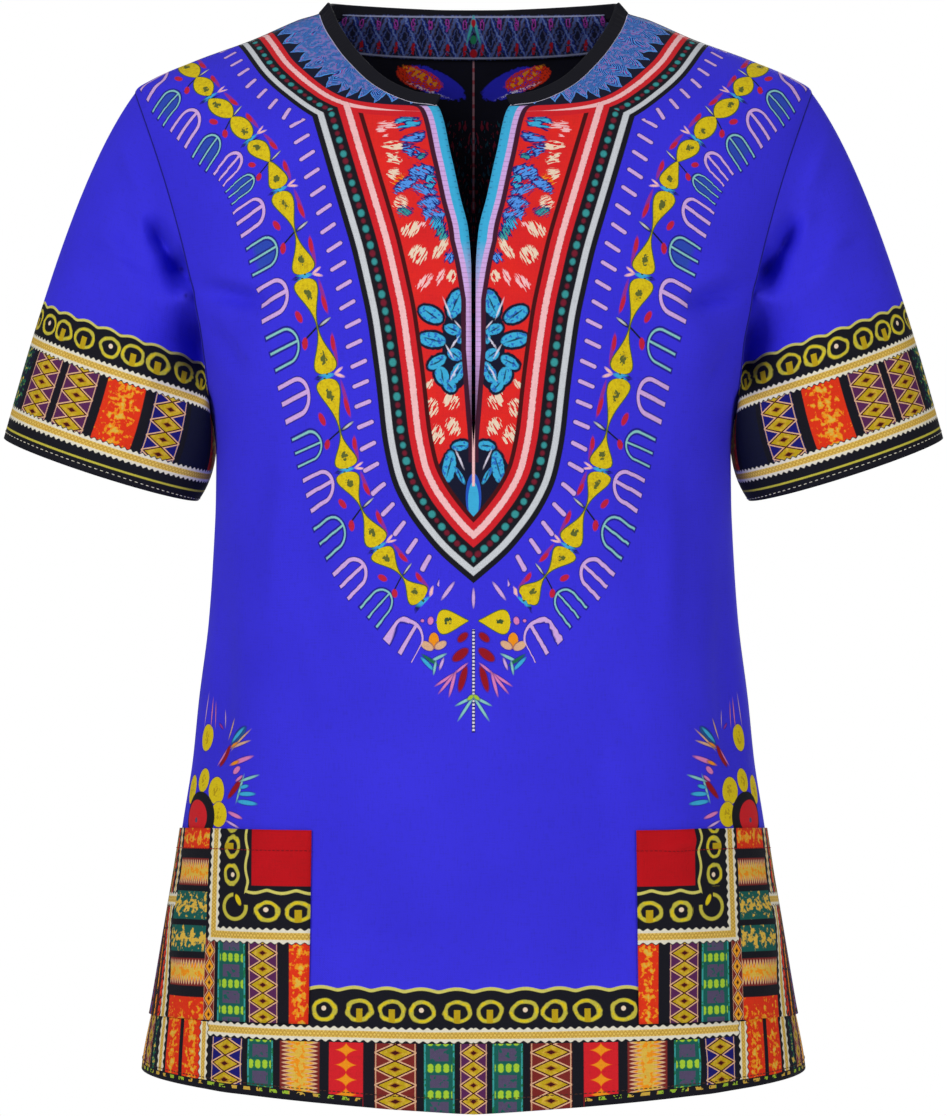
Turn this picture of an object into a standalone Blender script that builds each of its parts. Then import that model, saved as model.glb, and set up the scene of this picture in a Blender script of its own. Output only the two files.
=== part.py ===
"""A dashiki shirt as it stands on its wearer: hollow, open at the neck slit, cuffs and hem.

Metres, +Z up, the front faces -Y. The origin is the middle of the neck, level with the inner ends
of the shoulder seams. Each cut piece is one closed wall of cloth and its own object.
"""

import bpy
import numpy as np

WALL = 0.0016
FACING_WALL = 0.0012
FACING_GAP = 0.0009
SEAM_GAP = 0.0004
LAID_GAP = 0.0007
BINDING_WIDTH = 0.009
BINDING_WALL = 0.0024
BINDING_LIFT = 0.2

COLUMNS = 18

# Half of the body's width, and its depth in front of and behind the side seams, at each height.
BODY_NAMES = ("z", "width", "front", "back")
BODY = (
    (-0.760, 0.2336, 0.150, 0.132),
    (-0.7336, 0.2314, 0.148, 0.130),
    (-0.6916, 0.2235, 0.145, 0.127),
    (-0.6496, 0.2164, 0.142, 0.122),
    (-0.6076, 0.2092, 0.138, 0.117),
    (-0.5656, 0.2028, 0.134, 0.111),
    (-0.5236, 0.1963, 0.130, 0.104),
    (-0.4816, 0.1920, 0.127, 0.098),
    (-0.4256, 0.1850, 0.126, 0.095),
    (-0.3836, 0.1820, 0.128, 0.097),
    (-0.3416, 0.1800, 0.131, 0.101),
    (-0.310, 0.1797, 0.133, 0.105),
    (-0.285, 0.1825, 0.134, 0.108),
    (-0.260, 0.1890, 0.135, 0.111),
    (-0.230, 0.1990, 0.134, 0.114),
    (-0.160, 0.2230, 0.126, 0.115),
    (-0.110, 0.2340, 0.111, 0.109),
    (-0.080, 0.2380, 0.094, 0.101),
    (-0.0649, 0.2375, 0.080, 0.096),
    (-0.056, 0.2366, 0.070, 0.093),
    (-0.0476, 0.2247, 0.062, 0.089),
    (-0.0336, 0.1930, 0.047, 0.081),
    (-0.0196, 0.1547, 0.033, 0.071),
    (-0.0056, 0.1225, 0.014, 0.062),
    (0.000, 0.1070, 0.003, 0.059),
    (0.010, 0.1070, 0.003, 0.059),
)
ROUNDNESS = 2.3

HEM_SIDE_Z = -0.7368
HEM_BEND = 1.75
HEM_FRONT_Z = -0.7522
HEM_BACK_Z = -0.7480
UNDERARM_X = 0.1825
UNDERARM_Z = -0.2850
SHOULDER_X = 0.2366
SHOULDER_Z = -0.0560
ARMHOLE_BEND = 1.75
SLIT_END_Z = -0.3100

POCKET_TOP_X = 0.1085
POCKET_TOP_Z = -0.5650
POCKET_FOOT_X = 0.1106
POCKET_FOOT_Z = -0.6940
POCKET_COLUMN = 6
POCKET_FADE_Z = -0.4400
POCKET_EDGE = ((POCKET_FOOT_Z, POCKET_TOP_Z), (POCKET_FOOT_X, POCKET_TOP_X))

# Rows of the front from the hem to the shoulder. Each key row runs from the centre front, the
# slit or the neckline (in_x, in_z) out to the side seam or the armhole (out_z); steps is the
# number of mesh rows up to the next key row.
ROW_NAMES = ("in_x", "in_z", "out_z", "steps")
FRONT_ROWS = (
    (0.0000, HEM_FRONT_Z, HEM_SIDE_Z, 3),
    (0.0000, POCKET_FOOT_Z, POCKET_FOOT_Z, 6),
    (0.0000, POCKET_TOP_Z, POCKET_TOP_Z, 11),
    (0.0000, SLIT_END_Z, -0.3100, 1),
    (0.0012, -0.2880, UNDERARM_Z, 3),
    (0.0015, -0.1900, -0.2260, 1),
    (0.0033, -0.1630, -0.2000, 1),
    (0.0088, -0.1396, -0.1740, 1),
    (0.0151, -0.1104, -0.1480, 1),
    (0.0255, -0.0738, -0.1200, 1),
    (0.0410, -0.0712, -0.1100, 1),
    (0.0563, -0.0649, -0.1000, 1),
    (0.0667, -0.0583, -0.0920, 1),
    (0.0744, -0.0516, -0.0850, 1),
    (0.0821, -0.0431, -0.0780, 1),
    (0.0898, -0.0336, -0.0720, 1),
    (0.0962, -0.0237, -0.0670, 1),
    (0.1020, -0.0135, -0.0620, 1),
    (0.1070, 0.0000, SHOULDER_Z, 0),
)
NECK_ROWS = 9

BACK_NECK_Z = 0.0000
BACK_ROWS = (
    (0.0000, HEM_BACK_Z, HEM_SIDE_Z, 15),
    (0.0000, -0.2900, UNDERARM_Z, 6),
    (0.0000, -0.0540, -0.1500, 5),
    (0.0000, BACK_NECK_Z, -0.1050, 1),
    (0.0200, BACK_NECK_Z, -0.0960, 1),
    (0.0400, 0.0004, -0.0880, 1),
    (0.0590, 0.0008, -0.0810, 1),
    (0.0760, 0.0010, -0.0740, 1),
    (0.0910, 0.0009, -0.0680, 1),
    (0.1020, 0.0005, -0.0620, 1),
    (0.1070, 0.0000, SHOULDER_Z, 0),
)

BACK_NECK_ROWS = 8

# Large soft folds. Each runs from (x, z) to (to_x, to_z) on one side of the shirt, with its
# height outwards and its half width across; a height below nought is a trough.
FOLD_NAMES = ("x", "z", "to_x", "to_z", "height", "width")
FOLD_OVERRUN = 0.15
# Folds die out at the side seams, and well before them beside a sleeve.
NO_SLEEVE_Z = -0.3700
SLEEVE_FADE = 0.0300
SMOOTH_SIDE = 0.3
EDGE_FADE = 3
FRONT_FOLDS = (
    (-0.168, -0.270, -0.118, -0.205, 0.0035, 0.016),
    (-0.160, -0.345, -0.100, -0.300, -0.0028, 0.020),
    (0.170, -0.262, 0.120, -0.190, 0.0035, 0.016),
    (0.162, -0.350, 0.108, -0.312, -0.0028, 0.020),
    (-0.128, -0.400, -0.150, -0.700, 0.0050, 0.030),
    (-0.070, -0.470, -0.088, -0.740, -0.0045, 0.028),
    (0.120, -0.410, 0.146, -0.700, 0.0048, 0.030),
    (0.062, -0.500, 0.082, -0.740, -0.0042, 0.026),
    (-0.020, -0.560, -0.030, -0.740, 0.0040, 0.026),
    (0.172, -0.420, 0.190, -0.540, -0.0040, 0.020),
    (-0.172, -0.430, -0.188, -0.540, -0.0040, 0.020),
)
BACK_FOLDS = (
    (-0.150, -0.290, -0.090, -0.220, 0.0035, 0.018),
    (0.152, -0.285, 0.095, -0.210, 0.0035, 0.018),
    (-0.100, -0.380, -0.120, -0.720, 0.0050, 0.030),
    (-0.040, -0.440, -0.050, -0.730, -0.0045, 0.026),
    (0.030, -0.420, 0.040, -0.730, 0.0045, 0.028),
    (0.095, -0.400, 0.118, -0.720, -0.0045, 0.028),
    (0.150, -0.430, 0.172, -0.720, 0.0042, 0.026),
)
SLEEVE_FOLDS = (
    (0.205, -0.215, 0.270, -0.165, 0.0040, 0.011),
    (0.208, -0.255, 0.300, -0.245, -0.0030, 0.014),
    (0.215, -0.290, 0.290, -0.292, 0.0026, 0.013),
)

CUFF_TOP = (0.3285, -0.2975)
CUFF_UNDER = (0.1925, -0.3416)
CUFF_DEPTH = 0.058
CUFF_DIP = 0.0055
CUFF_RINGS = 13

# How a sleeve's lines leave the armhole and arrive at the cuff, as (x, z) for one metre of line.
TOP_LEAVES = (0.45, -0.60)
TOP_ARRIVES = (0.26, -0.93)
UNDER_LEAVES = (-0.12, -1.00)
UNDER_ARRIVES = (0.66, -0.90)

FACING_FROM = np.radians(30)
FACING_DROP = 0.0015
FACING_DEPTH = 0.0225
FACING_CELLS = (20, 3)

COLOURS = {
    "body": (0.046, 0.036, 0.76, 1),
    "pocket": (0.58, 0.012, 0.016, 1),
    "binding": (0.012, 0.012, 0.022, 1),
    "facing": (0.02, 0.025, 0.10, 1),
}


def column(table, names, name):
    return np.array([row[names.index(name)] for row in table])


def smooth(z, table, names, name):
    """A cubic through the table's rows, with a slope at each row that never overshoots."""
    at = column(table, names, "z")
    value = column(table, names, name)
    slope = np.diff(value) / np.diff(at)
    before, after = slope[:-1], slope[1:]
    level = before * after <= 0
    mean = 2 * before * after / np.where(level, 1, before + after)
    ends = np.concatenate([slope[:1], np.where(level, 0, mean), slope[-1:]])
    z = np.clip(z, at[0], at[-1])
    i = np.clip(np.searchsorted(at, z) - 1, 0, len(at) - 2)
    width = at[i + 1] - at[i]
    u = (z - at[i]) / width
    rise = (3 - 2 * u) * u * u
    bend = (ends[i] * (1 - u) - ends[i + 1] * u) * u * (1 - u) * width
    return value[i] + (value[i + 1] - value[i]) * rise + bend


def half_width(z):
    return smooth(z, BODY, BODY_NAMES, "width")


def armhole_x(z):
    rise = np.clip((z - UNDERARM_Z) / (SHOULDER_Z - UNDERARM_Z), 0, 1)
    return UNDERARM_X + (SHOULDER_X - UNDERARM_X) * rise**ARMHOLE_BEND


def turn_of(x, z):
    """The angle round the body's rounded section, 0 at the side seam and pi/2 at the centre."""
    ratio = np.clip(np.abs(x) / half_width(z), 0, 1)
    return np.arccos(ratio ** (ROUNDNESS / 2))


def folded(x, z, folds):
    """The height of all the folds at (x, z)."""
    total = np.zeros(np.broadcast(x, z).shape)
    for values in folds:
        fold = dict(zip(FOLD_NAMES, values))
        along = np.array([fold["to_x"] - fold["x"], fold["to_z"] - fold["z"]])
        reach = np.hypot(*along)
        along = along / reach
        s = ((x - fold["x"]) * along[0] + (z - fold["z"]) * along[1]) / reach
        t = (x - fold["x"]) * along[1] - (z - fold["z"]) * along[0]
        ends = np.clip(1 + FOLD_OVERRUN - np.abs(2 * s - 1), 0, 1)
        fade = ends * ends * (3 - 2 * ends)
        total += fold["height"] * np.exp(-((t / fold["width"]) ** 2)) * fade
    return total


def body_point(turn, z, side, face, folds, out=0.0):
    """A point of the body's cloth; side is -1 or 1 in X, face -1 for the front and 1 for the back."""
    power = 2 / ROUNDNESS
    width = half_width(z)
    depth = smooth(z, BODY, BODY_NAMES, "front" if face < 0 else "back")
    across, forward = np.cos(turn) ** power, np.sin(turn) ** power
    x, y = side * width * across, face * depth * forward
    normal = np.stack(
        [side * across ** (ROUNDNESS - 1) / width, face * forward ** (ROUNDNESS - 1) / depth]
    )
    normal = normal / np.hypot(*normal)
    beside_sleeve = np.clip((z - NO_SLEEVE_Z) / SLEEVE_FADE, 0, 1)
    edge = np.clip((np.sin(turn) - SMOOTH_SIDE * beside_sleeve) * EDGE_FADE, 0, 1)
    lift = out + folded(x, z, folds) * edge
    return np.stack([x + normal[0] * lift, y + normal[1] * lift, z + 0 * x], axis=-1)


def rows_of(table):
    """in_x, in_z, out_z for every mesh row of a panel."""
    counts = column(table, ROW_NAMES, "steps")
    keys = np.concatenate([[0], np.cumsum(counts[:-1])])
    at = np.arange(keys[-1] + 1)
    return [np.interp(at, keys, column(table, ROW_NAMES, name)) for name in ROW_NAMES[:3]]


def half_panel(table, side, face, folds):
    """A grid of points, rows from hem to shoulder and columns from the centre out."""
    in_x, in_z, out_z = rows_of(table)
    out_x = np.where(out_z > UNDERARM_Z, armhole_x(out_z), half_width(out_z))
    in_turn = np.where(in_x > 0, turn_of(in_x, in_z), np.pi / 2)
    out_turn = np.where(out_z > UNDERARM_Z, turn_of(out_x, out_z), 0)
    in_turn[-1] = out_turn[-1] = 0
    s = np.linspace(0, 1, COLUMNS + 1)[None, :]
    share = POCKET_COLUMN / COLUMNS
    pocket_turn = turn_of(np.interp(out_z, *POCKET_EDGE), out_z)
    near = np.clip((POCKET_FADE_Z - out_z) / (POCKET_FADE_Z - POCKET_TOP_Z), 0, 1)
    middle = in_turn * (1 - share) + out_turn * share
    middle = middle + (pocket_turn - middle) * near
    turn = np.stack([np.interp(s[0], (0, share, 1), row)
                     for row in zip(in_turn, middle, out_turn)])
    bend = np.where(out_z < POCKET_FOOT_Z, HEM_BEND, 1)[:, None]
    z = out_z[:, None] + (in_z - out_z)[:, None] * (1 - s) ** bend
    grid = body_point(turn, z, side, face, folds)
    grid[..., 1] = face * np.maximum(face * grid[..., 1], SEAM_GAP / 2)
    return grid


def grid_faces(index):
    """Quads over a grid of vertex numbers."""
    a, b, c, d = index[:-1, :-1], index[:-1, 1:], index[1:, 1:], index[1:, :-1]
    return np.stack([a, b, c, d], axis=-1).reshape(-1, 4)


def vertex_normals(points, faces):
    corners = points[faces]
    normal = np.cross(corners[:, 2] - corners[:, 0], corners[:, 3] - corners[:, 1])
    total = np.zeros_like(points)
    for corner in range(4):
        np.add.at(total, faces[:, corner], normal)
    return total / np.linalg.norm(total, axis=1)[:, None]


def border_edges(faces):
    """The directed edges that only one face has."""
    edges = np.concatenate([faces[:, [k, (k + 1) % 4]] for k in range(4)])
    kept = {tuple(edge) for edge in edges}
    return [edge for edge in edges if (edge[1], edge[0]) not in kept]


def material(name):
    made = bpy.data.materials.new(name)
    made.use_nodes = True
    shader = made.node_tree.nodes["Principled BSDF"]
    shader.inputs["Base Color"].default_value = COLOURS[name]
    shader.inputs["Roughness"].default_value = 0.85
    return made


def walled(name, outer, inner, faces, cloth):
    """A closed wall between two layers of the same faces, as an object facing out."""
    if (vertex_normals(outer, faces) * (outer - inner)).sum() < 0:
        faces = faces[:, ::-1]
    count = len(outer)
    sides = [(a, a + count, b + count, b) for a, b in border_edges(faces)]
    quads = np.concatenate([faces, faces[:, ::-1] + count, np.array(sides)])
    mesh = bpy.data.meshes.new(name)
    mesh.from_pydata(np.concatenate([outer, inner]).tolist(), [], quads.tolist())
    mesh.materials.append(cloth)
    mesh.validate()
    made = bpy.data.objects.new(name, mesh)
    bpy.context.scene.collection.objects.link(made)
    return made


def panel(name, table, face, folds, cloth):
    """The whole front or back: two half grids joined where the centre isn't cut."""
    halves = [half_panel(table, side, face, folds) for side in (-1, 1)]
    rows, columns = halves[0].shape[:2]
    left = np.arange(rows * columns).reshape(rows, columns)
    right = left + rows * columns
    joined = rows_of(table)[0] == 0
    right[joined, 0] = left[joined, 0]
    points = np.concatenate([half.reshape(-1, 3) for half in halves])
    faces = np.concatenate([grid_faces(left)[:, ::-1], grid_faces(right)])
    if face > 0:
        faces = faces[:, ::-1]
    used, faces = np.unique(faces, return_inverse=True)
    points, faces = points[used], faces.reshape(-1, 4)
    number = {old: new for new, old in enumerate(used)}
    normals = vertex_normals(points, faces)
    inner = points - normals * WALL
    inner[:, 1] = face * np.maximum(face * inner[:, 1], SEAM_GAP / 2)
    walled(name, points, inner, faces, cloth)
    find = np.vectorize(number.get)
    return points, inner, normals, find(left), find(right)


def unit(vectors):
    return vectors / np.linalg.norm(vectors, axis=-1, keepdims=True)


def armhole(front, back, side):
    """The armhole's outer edge, from the shoulder down the front and up the back, and its normals."""
    half = 3 if side < 0 else 4
    first = rows_of(FRONT_ROWS)[2]
    second = rows_of(BACK_ROWS)[2]
    rows = np.flatnonzero(first >= UNDERARM_Z - 1e-9)[::-1]
    back_rows = np.flatnonzero(second >= UNDERARM_Z - 1e-9)
    ahead, behind = front[half][rows, -1], back[half][back_rows, -1]
    loop = np.concatenate([front[0][ahead], back[0][behind][1:-1]])
    normals = np.concatenate([front[2][ahead], back[2][behind][1:-1]])
    loop[0] = (loop[0] + back[0][behind][-1]) / 2
    loop[len(rows) - 1] = (loop[len(rows) - 1] + back[0][behind][0]) / 2
    for at, other in ((0, -1), (len(rows) - 1, 0)):
        normals[at] = unit(normals[at] + back[2][behind][other])
    return loop, normals, len(rows) - 1


def sleeve_way(top, under, side, down):
    """Directions round the sleeve, from its top line's to its underarm line's."""
    x, z = (a + (b - a) * down for a, b in zip(top, under))
    return np.stack([side * x, 0 * x, z], axis=1)


def sleeve(name, front, back, side, cloth):
    """A tube from the armhole to the cuff; each of its lines is a cubic from seam to edge."""
    loop, normals, under = armhole(front, back, side)
    count = len(loop)
    steps = np.arange(count)
    angle = np.where(
        steps <= under, np.pi * steps / under, np.pi + np.pi * (steps - under) / (count - under)
    )
    down = (1 - np.cos(angle)) / 2
    tangent = unit(np.roll(loop, -1, axis=0) - np.roll(loop, 1, axis=0))
    away = unit(np.cross(tangent, normals))
    away *= np.sign(away[0, 0] * side)
    lap = (down**2)[:, None]
    seam = loop + SEAM_GAP * unit(away * (1 - lap) + normals * lap)
    seam[:, 0] += side * SEAM_GAP * lap[:, 0]
    top, bottom = np.array(CUFF_TOP), np.array(CUFF_UNDER)
    cuff = np.zeros((count, 3))
    cuff[:, 0] = side * (top[0] + (bottom[0] - top[0]) * down)
    cuff[:, 1] = -CUFF_DEPTH * np.sin(angle)
    cuff[:, 2] = top[1] + (bottom[1] - top[1]) * down
    cuff[:, 2] -= CUFF_DIP * np.clip(-cuff[:, 1] / CUFF_DEPTH, 0, 1)
    reach = np.linalg.norm(cuff - seam, axis=1)[:, None]
    leave = reach * sleeve_way(TOP_LEAVES, UNDER_LEAVES, side, down)
    arrive = reach * sleeve_way(TOP_ARRIVES, UNDER_ARRIVES, side, down)
    u = np.linspace(0, 1, CUFF_RINGS)[:, None, None]
    grid = (
        (1 + 2 * u) * (1 - u) ** 2 * seam
        + u * (1 - u) ** 2 * leave
        + u * u * (3 - 2 * u) * cuff
        - u * u * (1 - u) * arrive
    )
    facing = np.where(np.sin(angle) > 0, -1.0, 1.0) * np.abs(np.sin(angle))
    held = np.sin(np.pi * u[..., 0])
    lift = folded(np.abs(grid[..., 0]), grid[..., 2], SLEEVE_FOLDS) * held
    grid[..., 1] += facing * lift
    index = np.arange(grid.shape[0] * count).reshape(-1, count)
    faces = grid_faces(np.concatenate([index, index[:, :1]], axis=1))
    points = grid.reshape(-1, 3)
    outward = vertex_normals(points, faces)
    outward *= np.sign(outward[0, 0] * side)
    walled(name, points, points - outward * WALL, faces, cloth)


def pocket(name, front, side, cloth):
    """A patch made from the front's own points, moved out by the gap and by the wall."""
    points, _, normals = front[:3]
    half = front[3] if side < 0 else front[4]
    in_z = rows_of(FRONT_ROWS)[1]
    rows = np.flatnonzero((in_z > POCKET_FOOT_Z - 1e-6) & (in_z < POCKET_TOP_Z + 1e-6))
    laid = half[rows][:, POCKET_COLUMN:-1]
    at, out = points[laid].reshape(-1, 3), normals[laid].reshape(-1, 3)
    index = np.arange(laid.size).reshape(laid.shape)
    top = at + out * (LAID_GAP + WALL)
    walled(name, top, at + out * LAID_GAP, grid_faces(index), cloth)


def neck_path(front, back):
    """Edge points, their inner neighbours and normals, from the slit's left corner round the neck."""
    points, _, normals = front[:3]
    left, right = front[3], front[4]
    fore = [(half[-NECK_ROWS - 1:, 0], half[-NECK_ROWS - 1:, 2]) for half in (left, right)]
    behind_points, _, behind_normals = back[:3]
    rows = slice(-BACK_NECK_ROWS, -1)
    rear = [(half[rows, 0], half[rows, 2]) for half in (back[3], back[4])]
    edge = np.concatenate([points[fore[0][0]], behind_points[rear[0][0]][::-1],
                           behind_points[rear[1][0]][1:], points[fore[1][0]][::-1]])
    near = np.concatenate([points[fore[0][1]], behind_points[rear[0][1]][::-1],
                           behind_points[rear[1][1]][1:], points[fore[1][1]][::-1]])
    lean = np.concatenate([normals[fore[0][0]], behind_normals[rear[0][0]][::-1],
                           behind_normals[rear[1][0]][1:], normals[fore[1][0]][::-1]])
    return edge, near, lean


def eased(values, times):
    for _ in range(times):
        ends = values[0].copy(), values[-1].copy()
        values = (np.roll(values, 1, axis=0) + 2 * values + np.roll(values, -1, axis=0)) / 4
        values[0], values[-1] = ends
    return values


def binding(front, back, cloth):
    """The strip bound round the neck: a flat section carried along the neck's edge."""
    edge, near, lean = neck_path(front, back)
    tangent = unit(np.gradient(edge, axis=0))
    across = edge - near
    across = unit(across - tangent * (across * tangent).sum(axis=1, keepdims=True))
    across = unit(eased(across, 2) + np.array([0, 0, BINDING_LIFT]))
    normal = unit(np.cross(tangent, across))
    normal *= np.sign((normal * lean).sum(axis=1, keepdims=True))
    middle = edge - normal * WALL / 2
    half = BINDING_WALL / 2
    corners = []
    shoulder = BINDING_WIDTH - half
    for along, out in ((SEAM_GAP, -half), (SEAM_GAP, half), (shoulder, half),
                       (BINDING_WIDTH, 0), (shoulder, -half)):
        corners.append(middle + across * along + normal * out)
    ring = np.stack(corners, axis=1)
    stations, sides = ring.shape[:2]
    index = np.arange(stations * sides).reshape(stations, sides)
    faces = grid_faces(np.concatenate([index, index[:, :1]], axis=1)).tolist()
    faces += [index[0, ::-1].tolist(), index[-1].tolist()]
    mesh = bpy.data.meshes.new("neck_binding")
    mesh.from_pydata(ring.reshape(-1, 3).tolist(), [], faces)
    mesh.materials.append(cloth)
    mesh.validate()
    made = bpy.data.objects.new("neck_binding", mesh)
    bpy.context.scene.collection.objects.link(made)
    return ring


def back_neck_facing(cloth):
    """The shaped strip inside the back of the neck, a little in front of the back's inner layer."""
    around, deep = FACING_CELLS
    turn = np.linspace(FACING_FROM, np.pi - FACING_FROM, around + 1)[None, :]
    v = np.linspace(0, 1, deep + 1)[:, None]
    z = BACK_NECK_Z - FACING_DROP - v * FACING_DEPTH * np.sin(turn)
    side = np.where(turn < np.pi / 2, 1.0, -1.0)
    near = np.minimum(turn, np.pi - turn) + 0 * z
    base = body_point(near, z, side, 1, BACK_FOLDS).reshape(-1, 3)
    faces = grid_faces(np.arange(z.size).reshape(z.shape))
    normals = vertex_normals(base, faces)
    normals *= np.sign(normals[:, 1:2])
    outer = base - normals * (WALL + FACING_GAP)
    walled("back_neck_facing", outer, outer - normals * FACING_WALL, faces, cloth)


def main():
    for old in list(bpy.data.objects):
        bpy.data.objects.remove(old)
    cloths = {name: material(name) for name in COLOURS}
    front = panel("front", FRONT_ROWS, -1, FRONT_FOLDS, cloths["body"])
    back = panel("back", BACK_ROWS, 1, BACK_FOLDS, cloths["body"])
    for name, side in (("left", -1), ("right", 1)):
        sleeve("sleeve_" + name, front, back, side, cloths["body"])
        pocket("pocket_" + name, front, side, cloths["pocket"])
    binding(front, back, cloths["binding"])
    back_neck_facing(cloths["facing"])


main()
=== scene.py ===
import bpy
import numpy as np
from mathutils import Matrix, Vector


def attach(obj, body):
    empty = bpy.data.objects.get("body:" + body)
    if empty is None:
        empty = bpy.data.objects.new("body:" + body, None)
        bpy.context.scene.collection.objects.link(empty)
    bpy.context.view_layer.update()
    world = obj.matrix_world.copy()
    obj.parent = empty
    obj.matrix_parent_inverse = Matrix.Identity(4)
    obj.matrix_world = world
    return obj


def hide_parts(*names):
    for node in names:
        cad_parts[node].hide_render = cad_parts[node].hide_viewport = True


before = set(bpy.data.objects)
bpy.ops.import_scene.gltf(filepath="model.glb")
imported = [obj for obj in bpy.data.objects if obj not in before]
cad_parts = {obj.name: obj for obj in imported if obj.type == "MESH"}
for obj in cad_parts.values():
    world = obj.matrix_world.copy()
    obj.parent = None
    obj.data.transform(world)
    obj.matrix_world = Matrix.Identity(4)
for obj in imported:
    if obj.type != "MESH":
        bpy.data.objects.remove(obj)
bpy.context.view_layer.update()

form = {
    "roundness": 2.3,  # 2 is an ellipse, more is squarer
    "underarm": (0.1825, -0.2850),
    "shoulder": (0.2366, -0.0560),
    "armholeBend": 1.75,
    "hemBend": 1.75,
    "pocketFoot": -0.6940,
    "seamGap": 0.0004,
    "noSleeve": -0.3700,  # below this the folds run right out to the side seams
    "sleeveFade": 0.0300,
    "foldsFrom": 0.3,  # how far round from a sleeve the folds begin, as a sine
    "foldsRise": 3,
    "foldEnds": 1.15,
    "cloth": 0.0010,
    "columns": 104,  # mesh columns across half a panel
}

# Half width, and depth ahead of and behind the side seams, at each height.
sections = np.array([
    (-0.760, 0.2336, 0.150, 0.132),
    (-0.7336, 0.2314, 0.148, 0.130),
    (-0.6916, 0.2235, 0.145, 0.127),
    (-0.6496, 0.2164, 0.142, 0.122),
    (-0.6076, 0.2092, 0.138, 0.117),
    (-0.5656, 0.2028, 0.134, 0.111),
    (-0.5236, 0.1963, 0.130, 0.104),
    (-0.4816, 0.1920, 0.127, 0.098),
    (-0.4256, 0.1850, 0.126, 0.095),
    (-0.3836, 0.1820, 0.128, 0.097),
    (-0.3416, 0.1800, 0.131, 0.101),
    (-0.310, 0.1797, 0.133, 0.105),
    (-0.285, 0.1825, 0.134, 0.108),
    (-0.260, 0.1890, 0.135, 0.111),
    (-0.230, 0.1990, 0.134, 0.114),
    (-0.160, 0.2230, 0.126, 0.115),
    (-0.110, 0.2340, 0.111, 0.109),
    (-0.080, 0.2380, 0.094, 0.101),
    (-0.0649, 0.2375, 0.080, 0.096),
    (-0.056, 0.2366, 0.070, 0.093),
    (-0.0476, 0.2247, 0.062, 0.089),
    (-0.0336, 0.1930, 0.047, 0.081),
    (-0.0196, 0.1547, 0.033, 0.071),
    (-0.0056, 0.1225, 0.014, 0.062),
    (0.000, 0.1070, 0.003, 0.059),
    (0.010, 0.1070, 0.003, 0.059),
])

# Rows of a panel from hem to shoulder: where each starts (x, z), the height where it ends at the
# side, and how many mesh rows follow before the next.
frontRows = np.array([
    (0.0000, -0.7522, -0.7368, 18),
    (0.0000, -0.6940, -0.6940, 36),
    (0.0000, -0.5650, -0.5650, 66),
    (0.0000, -0.3100, -0.3100, 6),
    (0.0012, -0.2880, -0.2850, 24),
    (0.0015, -0.1900, -0.2260, 7),
    (0.0033, -0.1630, -0.2000, 7),
    (0.0088, -0.1396, -0.1740, 8),
    (0.0151, -0.1104, -0.1480, 9),
    (0.0255, -0.0738, -0.1200, 4),
    (0.0410, -0.0712, -0.1100, 4),
    (0.0563, -0.0649, -0.1000, 4),
    (0.0667, -0.0583, -0.0920, 3),
    (0.0744, -0.0516, -0.0850, 3),
    (0.0821, -0.0431, -0.0780, 3),
    (0.0898, -0.0336, -0.0720, 3),
    (0.0962, -0.0237, -0.0670, 3),
    (0.1020, -0.0135, -0.0620, 4),
    (0.1070, 0.0000, -0.0560, 0),
])
backRows = np.array([
    (0.0000, -0.7480, -0.7368, 114),
    (0.0000, -0.2900, -0.2850, 42),
    (0.0000, -0.0540, -0.1500, 18),
    (0.0000, 0.0000, -0.1050, 4),
    (0.0200, 0.0000, -0.0960, 4),
    (0.0400, 0.0004, -0.0880, 4),
    (0.0590, 0.0008, -0.0810, 4),
    (0.0760, 0.0010, -0.0740, 4),
    (0.0910, 0.0009, -0.0680, 4),
    (0.1020, 0.0005, -0.0620, 4),
    (0.1070, 0.0000, -0.0560, 0),
])
# Rows of the coarser pattern between underarm and shoulder; a sleeve's lines are spaced by them.
armholeSteps = {
    -1: [-0.2850, -0.2653, -0.2457, -0.2260, -0.2000, -0.1740, -0.1480, -0.1200, -0.1100, -0.1000,
         -0.0920, -0.0850, -0.0780, -0.0720, -0.0670, -0.0620, -0.0560],
    1: [-0.2850, -0.2625, -0.2400, -0.2175, -0.1950, -0.1725, -0.1500, -0.1410, -0.1320, -0.1230,
        -0.1140, -0.1050, -0.0960, -0.0880, -0.0810, -0.0740, -0.0680, -0.0620, -0.0560],
}

# Folds and creases: from (x, z) to (x, z), height out of the cloth, half width across.
frontFolds = [
    (-0.168, -0.270, -0.118, -0.205, 0.0035, 0.016),
    (-0.160, -0.345, -0.100, -0.300, -0.0028, 0.020),
    (0.170, -0.262, 0.120, -0.190, 0.0035, 0.016),
    (0.162, -0.350, 0.108, -0.312, -0.0028, 0.020),
    (-0.128, -0.400, -0.150, -0.700, 0.0050, 0.030),
    (-0.070, -0.470, -0.088, -0.740, -0.0045, 0.028),
    (0.120, -0.410, 0.146, -0.700, 0.0048, 0.030),
    (0.062, -0.500, 0.082, -0.740, -0.0042, 0.026),
    (-0.020, -0.560, -0.030, -0.740, 0.0040, 0.026),
    (0.172, -0.420, 0.190, -0.540, -0.0040, 0.020),
    (-0.172, -0.430, -0.188, -0.540, -0.0040, 0.020),
]
backFolds = [
    (-0.150, -0.290, -0.090, -0.220, 0.0035, 0.018),
    (0.152, -0.285, 0.095, -0.210, 0.0035, 0.018),
    (-0.100, -0.380, -0.120, -0.720, 0.0050, 0.030),
    (-0.040, -0.440, -0.050, -0.730, -0.0045, 0.026),
    (0.030, -0.420, 0.040, -0.730, 0.0045, 0.028),
    (0.095, -0.400, 0.118, -0.720, -0.0045, 0.028),
    (0.150, -0.430, 0.172, -0.720, 0.0042, 0.026),
]
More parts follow.
